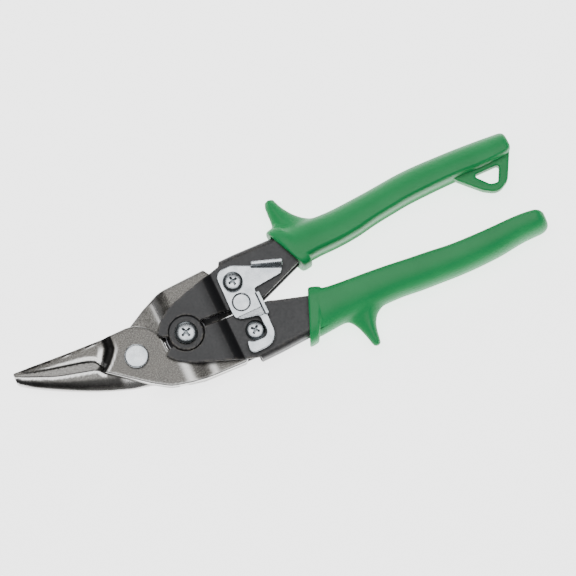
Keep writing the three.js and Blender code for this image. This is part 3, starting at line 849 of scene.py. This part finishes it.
def lower_blade_front(p, gap):
    joggle = rising(p[:, 0], JOGGLE_START_X, THINNING_LENGTH)
    tang = mix(-SHEAR_GAP, TANG_Z, joggle) - edge_drop(gap, RIM_RADIUS) * 0.75
    below = line_distance(p, LOWER_EDGE, closed=False)
    t = np.clip(1 - below / np.interp(p[:, 0], JAW_STATIONS, SIDE_WIDTHS), 0, 1)
    jaw = -SHEAR_GAP - SIDE_DROP * (0.55 * t ** 1.6 + 0.45 * (1 - np.sqrt(1 - t ** 6)))
    return mix(tang, jaw, jaw_share(p))


def lower_blade_back(p, gap):
    depth = np.interp(p[:, 0], DEPTH_STATIONS, JAW_DEPTHS)
    below = line_distance(p, LOWER_EDGE, closed=False)
    heel = cap_drop(below, 2.4, -SHEAR_GAP - SIDE_DROP - depth)
    jaw = depth + heel + rising(below, 3, 12) * (-TANG_Z - depth)
    tang = mix(-BODY_Z, -TANG_Z, rising(p[:, 0], THINNING_START_X, THINNING_LENGTH))
    tang = tang + edge_drop(gap, 0.8) * 0.6
    return mix(tang, jaw, falling(p[:, 0], -6, 6))


def finish_lower_blade(mesh, outline):
    """Marks the polished edges, the painted highlights and the painted shade of the lower jaw blade."""
    plan = read_points(mesh)[:, :2]
    x = plan[:, 0]
    jaw = jaw_share(plan)
    gap = line_distance(plan, outline)
    across = line_distance(plan, LOWER_EDGE, closed=False) / np.interp(x, JAW_STATIONS, SHADING_WIDTHS)
    from_upper = line_distance(plan, UPPER_EDGE, closed=False)

    # Painted highlights on the rounded jaw: a reflection along its outer rim, a line by the upper blade's edge,
    # its heel by the disc and its tip.
    rim_shine = falling(across, 0.16, 0.08) * 0.9
    edge_shine = falling(from_upper, 1.5, 0.4) * (across < 1.05)
    wedge = rising(x, -12, 4)
    near_tip = falling(x, -46, 6)
    base = np.full(len(plan), 0.1)
    jaw_shine = np.maximum.reduce([base, edge_shine, wedge * 0.9, near_tip, rim_shine])
    # The lips are polished edges of the disc and tang; the band is a painted highlight across the tang's bend.
    lip = smooth(1 - gap / 0.8) * (1 - jaw) * (x < 44)
    band = stripe(x, 17.4, 2.8) * (1 - jaw)
    store(mesh, "ground", np.clip(np.maximum.reduce([lip, jaw * jaw_shine, band]), 0, 1))

    # Painted shade: a dark reflection band across the rounded jaw, and a darker stripe across the tang before its
    # bend.
    shade_band = rising(across, 0.13, 0.14) * falling(across, 0.7, 0.2)
    jaw_dark = jaw * shade_band * 0.8 * (1 - edge_shine) * (1 - wedge)
    hollow = stripe(x, 11.8, 3.4) * (1 - jaw) * 0.3
    store(mesh, "dark", np.clip(np.maximum(jaw_dark, hollow), 0, 1))


def lower_jaw_blade():
    outline = lower_blade_outline()
    holes = [circle(BLADE_PIVOT, LOWER_BLADE_BORE), circle(UPPER_TANG, TANG_BORE)]
    rows = [offset_line(LOWER_EDGE, d) for d in (0.25, 0.6, 1.1, 1.7, 2.4, 3.2, 4.0, 4.6)]
    mesh = relief("lower_jaw_blade", outline, holes, lower_blade_front, lower_blade_back, BLADE_STEP, rows)
    finish_lower_blade(mesh, outline)
    return mesh


# ---- Handle frames ----------------------------------------------------------

HIDDEN_FROM_X = 101
FRAME_VOXEL = 0.34
FOLD_START_X = 50.6
FOLD_RADIUS = 2.7
CHANNEL_FACE_Z = 5.5
UPPER_FOLD = [(50, 24.2), (59, 24.3), (79, 23.7), (95, 22), (120, 22)]
LOWER_FOLD = [(49, -25.2), (60.4, -25), (74.2, -24.3), (90, -23), (120, -22.6)]
SLOPE_END_X = {1: 45.8, -1: 43.8}
BACK_SLIT_SHIFT = 0.9


def fold_over(points, fold, side):
    """Rounds the bend between the walls and the web of a channel."""
    inward = side_of(points[:, :2], np.array(fold)[::-side])
    height = CHANNEL_FACE_Z - np.abs(points[:, 2])
    a, b = FOLD_RADIUS - inward, FOLD_RADIUS - height
    reach = np.hypot(a, b)
    outside = (a > 0) & (b > 0) & (reach > FOLD_RADIUS) & (points[:, 0] > FOLD_START_X)
    pull = np.where(outside, FOLD_RADIUS / np.maximum(reach, 1e-9), 1)
    shift = a * (1 - pull) * outside
    points[:, 1] -= side * shift
    lowered = np.sign(points[:, 2]) * (CHANNEL_FACE_Z - FOLD_RADIUS + b * pull)
    points[:, 2] = np.where(outside, lowered, points[:, 2])
    return points


def convexity_of(mesh, rounds=3):
    """How sharply the skin bends outwards at each point, from 0 to 1."""
    pairs = neighbours(mesh)
    points = read_points(mesh)
    normals = np.empty(len(points) * 3)
    mesh.vertices.foreach_get("normal", normals)
    normals = normals.reshape(-1, 3)
    bend = ((points - spread_of(points, pairs)) * normals).sum(1)
    for _ in range(rounds):
        bend = averaged(bend, pairs)
    return bend


def half_frame(node, keep_front):
    """The CAD frame in front of, or behind, the plane where the grip starts to cover it."""
    mesh = cad_copy(node)
    cut = place([(HIDDEN_FROM_X, 0, 0)])[0]
    with edited(mesh) as tool:
        bmesh.ops.remove_doubles(tool, verts=tool.verts, dist=1e-6)
        made = bmesh.ops.bisect_plane(tool, geom=[*tool.verts, *tool.edges, *tool.faces], dist=1e-7,
                                      plane_co=cut, plane_no=(1, 0, 0), clear_outer=keep_front,
                                      clear_inner=not keep_front)
        rim = [e for e in made["geom_cut"] if isinstance(e, bmesh.types.BMEdge)]
        bmesh.ops.triangle_fill(tool, use_beauty=True, edges=rim)
    return mesh


def closed_back_slit(points):
    """Moves the back wall's edge along the slit towards the upper handle's."""
    reach = rising(points[:, 0], 37, 3) * falling(points[:, 0], 60, 4)
    near = rising(points[:, 1], -3, 2) * (points[:, 2] < -2.5)
    points[:, 1] += BACK_SLIT_SHIFT * reach * near
    return points


def finish_frame(skin, side):
    """Marks the rubbed edges, and paints shade on the slope of a front wall."""
    store(skin, "wear", np.clip(convexity_of(skin) / 0.035, 0, 1))
    end = SLOPE_END_X[side]
    p = read_points(skin)
    # Painted shade down the slope of the front wall, ending sharply at its foot.
    shaded = rising(p[:, 0], end - 9.5, 8.5) * falling(p[:, 0], end + 0.3, 0.6)
    store(skin, "dark", shaded * (p[:, 2] > 0) * 0.85)


def handle_frame(node, side):
    """Folded channel: soft sheet edges in front, plain where the grip covers it."""
    skin = remeshed(half_frame(node, True), FRAME_VOXEL)
    points = read_points(skin)
    if side < 0:
        points = closed_back_slit(points)
    write_points(skin, fold_over(points, UPPER_FOLD if side > 0 else LOWER_FOLD, side))
    relaxed(skin, 4)
    finish_frame(skin, side)
    mesh = joined(node, [skin, half_frame(node, False)])
    shade(mesh, 50)
    return mesh


# ---- Grips ------------------------------------------------------------------

GRIP_HALF = 9.5
GRIP_VOXEL = 0.42
POCKET_HALF = 5.8
SLEEVE_SECTIONS = 130
SEAM_DEPTH = 0.9
LOOP_HALF = 3.0
HORN_SIDES = 40


def section(inner, outer, half, sides=72, crest=0.2, sharp=3.4, soft=2.35, recess=0.0):
    """Closed section between two plan points: tight on the inner side, round on the outer."""
    turn = np.linspace(0, 2 * math.pi, sides, endpoint=False)
    t = (1 - np.cos(turn)) / 2
    before = np.clip((crest - t) / crest, 0, 1)
    after = np.clip((t - crest) / (1 - crest), 0, 1)
    rise = np.where(t < crest, (1 - before ** sharp) ** (1 / sharp), (1 - after ** soft) ** (1 / soft))
    z = half * rise * np.sign(np.sin(turn) + 1e-12)
    z[np.isclose(t, 0) | np.isclose(t, 1)] = 0
    groove = recess * smooth((4.2 - np.abs(z)) / 0.8) * (t < 0.3) / max(np.linalg.norm(outer - inner), 1e-6)
    plan = inner + (outer - inner) * (t + groove)[:, None]
    return np.column_stack([plan, z])


def drawn_in(a, b, scale, half, **shape):
    """Section between two plan points that are moved towards their middle."""
    middle = (a + b) / 2
    return section(middle + (a - middle) * scale, middle + (b - middle) * scale, half, **shape)


def lofted(name, sections):
    """Closed skin over sections with equal point counts."""
    count = len(sections[0])
    points = np.vstack(sections)
    faces = []
    for s in range(len(sections) - 1):
        for k in range(count):
            n = (k + 1) % count
            faces.append((s * count + k, s * count + n, (s + 1) * count + n, (s + 1) * count + k))
    faces.append(tuple(range(count))[::-1])
    last = (len(sections) - 1) * count
    faces.append(tuple(range(last, last + count)))
    return turned_outward(mesh_from(name, points, faces))


def along(points, count):
    """Evenly spaced points on a smooth line."""
    line = curve_through(points, 0.4)
    reach = np.concatenate([[0], np.cumsum(np.linalg.norm(np.diff(line, axis=0), axis=1))])
    at = np.linspace(0, reach[-1], count)
    return np.column_stack([np.interp(at, reach, line[:, axis]) for axis in range(2)])


def sleeve(name, inner, outer, end_reach, end_power):
    """Grip body: sections from front to end, closing over the last end_reach mm."""
    inner, outer = along(inner, SLEEVE_SECTIONS), along(outer, SLEEVE_SECTIONS)
    sections = []
    length = np.linalg.norm(outer[-1] - outer[0])
    for k, (a, b) in enumerate(zip(inner, outer)):
        left = (1 - k / (SLEEVE_SECTIONS - 1)) * length
        close = 1.0
        if left < end_reach:
            close = max(0.02, (1 - (1 - left / end_reach) ** end_power) ** (1 / end_power))
        front = 1 - 0.05 * smooth(1 - k / 3)
        half = GRIP_HALF * close ** 0.9 * front
        sections.append(drawn_in(a, b, close * front, half, recess=SEAM_DEPTH * (close > 0.98)))
    return lofted(name, sections)


def collar(name, front, rear):
    """Flared band at the mouth of a grip, between its front and rear plan lines."""
    sections = []
    for t, grow in ((0, 0.955), (0.08, 0.985), (0.25, 1), (0.7, 1), (0.9, 0.985), (1, 0.93)):
        a = mix(np.array(front[0]), np.array(rear[0]), t)
        b = mix(np.array(front[1]), np.array(rear[1]), t)
        sections.append(drawn_in(a, b, grow, GRIP_HALF * grow, crest=0.3, sharp=4.0, soft=3.2))
    return lofted(name, sections)


def horn(name, rows, ridge=0.5):
    """Finger guard: rows of (y, x_low, x_high, half height), with a soft ridge."""
    sections = []
    for y, low, high, half in rows:
        turn = np.linspace(0, 2 * math.pi, HORN_SIDES, endpoint=False)
        t = (1 - np.cos(turn)) / 2
        side = np.where(t < ridge, t / ridge, (1 - t) / (1 - ridge))
        z = half * np.clip(side, 0, 1) ** 0.62 * np.sign(np.sin(turn) + 1e-12)
        z[np.isclose(t, 0) | np.isclose(t, 1)] = 0
        sections.append(np.column_stack([low + (high - low) * t, np.full(len(t), y), z]))
    return lofted(name, sections)


def channel_pocket(corners):
    """Space for the handle channel in the mouth of a grip."""
    count = len(corners)
    points = [(x, y, z) for z in (-POCKET_HALF, POCKET_HALF) for x, y in corners]
    faces = [tuple(range(count))[::-1], tuple(range(count, 2 * count))]
    faces += [(k, (k + 1) % count, count + (k + 1) % count, count + k) for k in range(count)]
    return turned_outward(mesh_from("pocket", points, faces))


def lanyard_loop():
    outline = rounded([
        (164, 17, 0), (166, 12.4, 4), (175, 3.1, 5), (181.2, -0.8, 6), (187.4, 2.6, 5), (194, 14.6, 0),
        (193, 19, 0),
    ])
    hole = rounded([(173.6, 11.2, 1), (179.4, 4.4, 1.6), (183, 3.6, 1.6), (187, 11, 1)])

    def face(p, gap):
        return LOOP_HALF - edge_drop(gap, 1.1) * 0.8

    return relief("loop", outline, [hole], face, lambda p, gap: -face(p, gap), 1.0)


BLEND_RADIUS = 15
BLEND_EDGE = 5
BLEND_ROUNDS = 60


def blended_base(skin, base):
    """Rounds the hollows where the finger guard grows out of the sleeve."""
    points = read_points(skin)
    share = 0.5 * falling(radius_from(points, base), BLEND_RADIUS, BLEND_EDGE)[:, None]
    pairs = neighbours(skin)
    for _ in range(BLEND_ROUNDS):
        points += (spread_of(points, pairs) - points) * share
    write_points(skin, points)


def finished_grip(name, shells, pocket, base):
    """One moulded skin over the shells, softest round the base of the finger guard."""
    skin = remeshed(joined(name, shells), GRIP_VOXEL)
    relaxed(skin, 5)
    blended_base(skin, base)
    return combined(skin, channel_pocket(pocket), "DIFFERENCE")


# Rows of the finger guards: y, low and high x, half height.
UPPER_HORN = [
    (15, 87, 97, 8.0), (19, 85, 101, 7.4), (22, 83, 103, 6.4), (24.6, 81.6, 100, 5.4),
    (27.5, 80.8, 95.6, 4.6), (31, 80.8, 92.2, 4.0), (35, 81.2, 89.6, 3.5), (38.5, 81.8, 87.8, 2.9),
    (40.4, 82.6, 86.8, 2.3), (41, 83.8, 85.4, 1.2),
]
LOWER_HORN = [
    (-16, 96, 106, 8.0), (-20, 94.5, 109, 7.4), (-23, 92.6, 113, 6.4), (-25.4, 92.6, 111.5, 5.4),
    (-28, 94.8, 107.2, 4.6), (-31.5, 96.4, 105, 4.0), (-35, 97.4, 104, 3.5), (-38.5, 98.4, 103.4, 2.9),
    (-40.3, 99.2, 102.8, 2.3), (-41, 100.2, 101.8, 1.2),
]


def upper_grip():
    inner = [
        (86.9, 7.5), (96, 8.2), (105, 8.3), (115, 9.1), (125, 10.8), (135, 12), (145, 12.9), (165, 13.3),
        (178, 12.6), (190, 13), (195.2, 14.4),
    ]
    outer = [
        (81.6, 26.6), (88, 25.9), (96, 25.2), (107, 24.4), (125, 25.3), (145, 26.8), (165, 26.4),
        (180, 25.5), (195.4, 24.1),
    ]
    shells = [
        sleeve("sleeve", inner, outer, 4.5, 3.4),
        collar("collar", ((86, 5), (76.4, 27.6)), ((90.8, 5.6), (83.4, 28.6))),
        horn("horn", UPPER_HORN, 0.42),
        lanyard_loop(),
    ]
    pocket = [
        (60, 24.4), (79, 24), (95, 22.3), (120, 22.3), (120, 12.3), (100, 10.4), (85.2, 8.3), (60, 1.5),
    ]
    return finished_grip("upper_grip", shells, pocket, (90, 26))


def lower_grip():
    inner = [
        (85.6, -5.6), (92, -7.5), (110, -9.1), (120, -10.1), (130, -11.3), (140, -12.4), (150, -13.6),
        (160, -14.1), (170, -14.3), (182, -14.4), (190, -15.2), (195.2, -16.4),
    ]
    outer = [
        (77.6, -26.4), (85, -25.8), (92, -25.4), (110, -25.4), (120, -25.5), (130, -26.5), (140, -27.2),
        (150, -27.8), (160, -27.9), (170, -27.5), (182, -26.2), (195.4, -26.2),
    ]
    shells = [
        sleeve("sleeve", inner, outer, 6, 2.6),
        collar("collar", ((83.3, -3.8), (73, -28.6)), ((89, -6), (77.8, -28.2))),
        horn("horn", LOWER_HORN, 0.6),
    ]
    pocket = [
        (50, -25.2), (74.2, -24.6), (90, -23.3), (120, -22.9), (120, -12), (100, -10.1), (84, -8.1),
        (50, 1),
    ]
    return finished_grip("lower_grip", shells, pocket, (102.5, -26.5))


# ---- Screws, nuts and washers -----------------------------------------------

SHANK_CHAMFER = 0.5
HEAD_EDGE = 0.25
DOME_START = 8
DOME_STEPS = 8
CROSS_WIDTH = 1.45
CROSS_HEIGHT = 3.0
CROSS_TAPER = 0.45
CAP_BOLT = [
    (0, -9.3), (3.5, -9.3), (4, -8.8), (4, 5.2), (5.3, 5.2), (5.5, 5.45), (5.5, 6.4), (5.42, 6.65),
    (5.2, 6.85), (4.8, 6.96), (4.2, 7), (0, 7),
]


def domed_head(radius, seat, top, shank, end):
    """Profile of a screw: chamfered shank end, flat seat and a domed head."""
    rim = seat + (top - seat) * 0.38
    profile = [
        (0, end), (shank - SHANK_CHAMFER, end), (shank, end + SHANK_CHAMFER), (shank, seat),
        (radius - HEAD_EDGE, seat), (radius, seat + HEAD_EDGE), (radius, rim - 0.2),
    ]
    for k in range(DOME_STEPS + 1):
        angle = math.radians(DOME_START + (90 - DOME_START) * k / DOME_STEPS)
        profile.append((radius * math.cos(angle) ** 0.8 + 0.001, rim + (top - rim) * math.sin(angle)))
    return [*profile, (0, top)]


def cross_cutter(centre, top, length, turn):
    """Two tapered arms that cut the recess of a cross screw."""
    sizes = [(length, CROSS_WIDTH, CROSS_HEIGHT), (CROSS_WIDTH, length, CROSS_HEIGHT)]
    arms = [box_mesh((*centre, top - 0.35), size, turn, CROSS_TAPER) for size in sizes]
    return combined(*arms, "UNION")


def cross_screw(centre, radius, seat, top, shank, end, turn):
    mesh = turned_mesh("screw", centre, domed_head(radius, seat, top, shank, end))
    mesh = combined(mesh, cross_cutter(centre, top, radius * 1.25, turn), "DIFFERENCE")
    shade(mesh, 30)
    p = read_points(mesh)
    reach = radius_from(p, centre) / radius
    # Painted shade: darker towards the dome's rim and inside the cross recess.
    rim = rising(reach, 0.62, 0.25) * (p[:, 2] > seat) * 0.8
    slot = (reach < 0.6) & (p[:, 2] > seat - 1) & (p[:, 2] < top - 0.8)
    store(mesh, "dark", np.maximum(rim, slot * 0.75))
    return mesh


def drilled(body, centre, radius, bottom, top):
    low, high = bottom - 1, top + 1
    bore = turned_mesh("bore", centre, [(0, low), (radius, low), (radius, high), (0, high)], 48)
    mesh = combined(body, bore, "DIFFERENCE")
    shade(mesh, 25)
    return mesh


def lock_nut(centre, across, bore, bottom, top):
    """Hexagon nut with chamfered corners and a round nylon collar."""
    corner = across / math.sqrt(3)
    flat, wide = across * 0.49, corner * 1.02
    seat = bottom + (top - bottom) * 0.3
    prism = turned_mesh("prism", centre, [(0, seat), (corner, seat), (corner, top), (0, top)], 6)
    cone = turned_mesh("cone", centre, [
        (0, seat - 0.1), (flat, seat - 0.1), (wide, seat + 0.6), (wide, top - 0.6), (flat, top + 0.1),
        (0, top + 0.1),
    ])
    ring = turned_mesh("ring", centre, [
        (0, bottom), (across * 0.38, bottom), (across * 0.45, bottom + 0.35), (across * 0.45, seat + 0.3),
        (0, seat + 0.3),
    ])
    body = combined(combined(prism, cone, "INTERSECT"), ring, "UNION")
    return drilled(body, centre, bore, bottom, top)


def washer(centre, bore, radius, bottom, top):
    edge = min(0.15, (top - bottom) / 4)
    body = turned_mesh("washer", centre, [
        (0, bottom), (radius - edge, bottom), (radius, bottom + edge), (radius, top - edge),
        (radius - edge, top), (0, top),
    ])
    return drilled(body, centre, bore, bottom, top)


# ---- Latch and spring -------------------------------------------------------

LATCH_VOXEL = 0.24
BOSS = np.array([53, 2])
BOSS_RADIUS = 4.4
BOSS_EDGE = 0.9
BOSS_RISE = 0.45
PLATE_LOW_Z = 5
PLATE_HIGH_Z = 8
FLANGE_START = np.array([63.8, 14.7])
FLANGE_END = np.array([76.6, 8.7])
FLANGE_FOOT_Z = 7.4
FLANGE_HEIGHT = 4.4
COIL_RADIUS = 9.3
COIL_HALF_HEIGHT = 0.96
COIL_START = math.pi / 4
COIL_SWEEP = 3.5 * math.pi
COIL_STEPS = 110
WIRE_RADIUS = 0.5
WIRE_SIDES = 12
LEG = [(34.4, 3.9), (37, 3.3), (42, 3.4), (47, 3.6)]


def with_boss(points):
    """Presses a round boss up out of the latch's plate."""
    rise = falling(radius_from(points, BOSS), BOSS_RADIUS, BOSS_EDGE) * BOSS_RISE
    plate = (points[:, 2] > PLATE_LOW_Z) & (points[:, 2] < PLATE_HIGH_Z)
    points[:, 2] += np.where(plate, rise, 0)
    return points


def with_leaning_flange(points):
    """Leans the thumb flange outward, more towards its rear end."""
    length = np.linalg.norm(FLANGE_END - FLANGE_START)
    ahead = (FLANGE_END - FLANGE_START) / length
    outward = np.array([-ahead[1], ahead[0]])
    at = (points[:, :2] - FLANGE_START) @ ahead / length
    beside = (points[:, :2] - FLANGE_START) @ outward
    height = np.maximum(points[:, 2] - FLANGE_FOOT_Z, 0) / FLANGE_HEIGHT
    lean = height * (0.3 + 1.4 * np.clip(at, 0, 1)) * ((at > -0.1) & (beside > -1.5))
    points[:, :2] += outward * lean[:, None]
    return points


def latch():
    skin = remeshed(cad_copy("latch"), LATCH_VOXEL)
    relaxed(skin, 4)
    write_points(skin, with_leaning_flange(with_boss(read_points(skin))))
    shade(skin, 60)
    return skin


def spring_path():
    """Nearly two turns round the handle pivot and a leg by each tang."""
    share = np.linspace(0, 1, COIL_STEPS + 1)
    turn = COIL_START + COIL_SWEEP * share
    coil = np.column_stack([HANDLE_PIVOT[0] + COIL_RADIUS * np.cos(turn),
                            HANDLE_PIVOT[1] + COIL_RADIUS * np.sin(turn),
                            COIL_HALF_HEIGHT * np.linspace(1, -1, COIL_STEPS + 1)])

    def leg(side):
        flat = curve_through([(x, side * y) for x, y in LEG])
        return np.column_stack([flat, np.full(len(flat), side * COIL_HALF_HEIGHT)])

    path = np.vstack([leg(1)[::-1], coil, leg(-1)])
    for _ in range(3):
        path[1:-1] = (path[:-2] + 2 * path[1:-1] + path[2:]) / 4
    return path


def opening_spring():
    """Round wire along the torsion spring's path."""
    path = spring_path()
    ahead = unit(np.gradient(path, axis=0))
    up = unit(np.array([0, 0, 1]) - ahead * ahead[:, 2:])
    out = np.cross(ahead, up)
    around = np.linspace(0, 2 * math.pi, WIRE_SIDES, endpoint=False)[:, None]
    rings = [centre + WIRE_RADIUS * (o * np.cos(around) + u * np.sin(around))
             for centre, u, o in zip(path, up, out)]
    mesh = lofted("opening_spring", rings)
    shade(mesh, 60)
    return mesh


# ---- Pieces -----------------------------------------------------------------

NODE_BODY = {
    node: body
    for body, nodes in frame["record"]["behaviour"]["bodies"].items()
    for node in nodes
}


def put(node, mesh):
    obj = new_piece(node + "_detail", mesh, NODE_BODY[node], SLOT_MATERIAL[NODE_SLOT[node]], [node])
    return obj


put("upper_jaw_blade", upper_jaw_blade())
put("lower_jaw_blade", lower_jaw_blade())
put("upper_handle_frame", handle_frame("upper_handle_frame", 1))
put("lower_handle_frame", handle_frame("lower_handle_frame", -1))
put("upper_grip", upper_grip())
put("lower_grip", lower_grip())
put("blade_pivot_bolt", turned_mesh("cap_bolt", BLADE_PIVOT, CAP_BOLT, 96))
put("blade_pivot_washer", washer(BLADE_PIVOT, bore=4.3, radius=7.2, bottom=-6.3, top=-5.2))
put("blade_pivot_nut", lock_nut(BLADE_PIVOT, across=12, bore=4.3, bottom=-9.5, top=-6.5))
put("handle_pivot_bolt", cross_screw(
    HANDLE_PIVOT, radius=5.25, seat=6.6, top=9, shank=2.7, end=-9.2, turn=0.35,
))
put("handle_pivot_washer", washer(HANDLE_PIVOT, bore=3, radius=5.4, bottom=-7.3, top=-6.6))
put("handle_pivot_nut", lock_nut(HANDLE_PIVOT, across=8.4, bore=3, bottom=-9.5, top=-7.5))
put("upper_tang_bolt", cross_screw(
    UPPER_TANG, radius=4.6, seat=8.2, top=10.4, shank=2.9, end=-9.1, turn=0.2,
))
put("upper_tang_nut", lock_nut(UPPER_TANG, across=8.4, bore=3.15, bottom=-9.3, top=-5.7))
put("lower_tang_bolt", cross_screw(
    LOWER_TANG, radius=4.5, seat=5.6, top=7.4, shank=2.9, end=-9.1, turn=0.75,
))
put("lower_tang_nut", lock_nut(LOWER_TANG, across=8.4, bore=3.15, bottom=-9.3, top=-5.7))
put("latch_spring_washer", washer(UPPER_TANG, bore=3.2, radius=4.3, bottom=7.5, top=8.1))
put("latch", latch())
put("opening_spring", opening_spring())

# ---- Camera, lights, floor --------------------------------------------------

AZIMUTH = math.radians(-25.3)
ELEVATION = math.radians(78)
VIEW_WIDTH = 0.2598
CAMERA_DISTANCE = 1.6
AIM = place((74.8, -1.1, 7.5))
SENSOR_WIDTH = 36
CLIP_END = 20
WORLD_STRENGTH = 0.16
FLOOR_REACH = 3.0

right = Vector((math.cos(AZIMUTH), math.sin(AZIMUTH), 0))
ahead = Vector((-math.sin(AZIMUTH), math.cos(AZIMUTH), 0))
towards_viewer = Vector((0, 0, math.sin(ELEVATION))) - ahead * math.cos(ELEVATION)


def aimed(obj, location, target):
    obj.location = location
    obj.rotation_euler = (Vector(target) - Vector(location)).to_track_quat("-Z", "Y").to_euler()
    bpy.context.scene.collection.objects.link(obj)
    return obj


def make_camera():
    data = bpy.data.cameras.new("camera")
    data.sensor_width = SENSOR_WIDTH
    data.lens = data.sensor_width * CAMERA_DISTANCE / VIEW_WIDTH
    data.clip_end = CLIP_END
    camera = bpy.data.objects.new("camera", data)
    aimed(camera, Vector(AIM) + towards_viewer * CAMERA_DISTANCE, AIM)
    bpy.context.scene.camera = camera


def softbox(name, offset_right, offset_ahead, height, size, power):
    data = bpy.data.lights.new(name, "AREA")
    data.shape = "RECTANGLE"
    data.size, data.size_y = size
    data.energy = power
    place_at = Vector(AIM) + right * offset_right + ahead * offset_ahead + Vector((0, 0, height))
    return aimed(bpy.data.objects.new(name, data), place_at, AIM)


def make_world():
    world = bpy.data.worlds.new("studio")
    world.use_nodes = True
    background = world.node_tree.nodes["Background"]
    background.inputs["Color"].default_value = (1, 1, 1, 1)
    background.inputs["Strength"].default_value = WORLD_STRENGTH
    bpy.context.scene.world = world


def make_floor():
    mesh = bpy.data.meshes.new("floor")
    corners = [(x * FLOOR_REACH, y * FLOOR_REACH, 0) for x, y in ((-1, -1), (1, -1), (1, 1), (-1, 1))]
    mesh.from_pydata(corners, [], [(0, 1, 2, 3)])
    mesh.materials.append(pale_floor())
    floor = bpy.data.objects.new("floor", mesh)
    bpy.context.scene.collection.objects.link(floor)


make_camera()
make_world()
make_floor()
softbox("overhead", offset_right=0.0, offset_ahead=0.05, height=1.1, size=(1.05, 0.9), power=9.5)
softbox("key", offset_right=-0.25, offset_ahead=0.95, height=0.5, size=(0.8, 0.3), power=2.0)
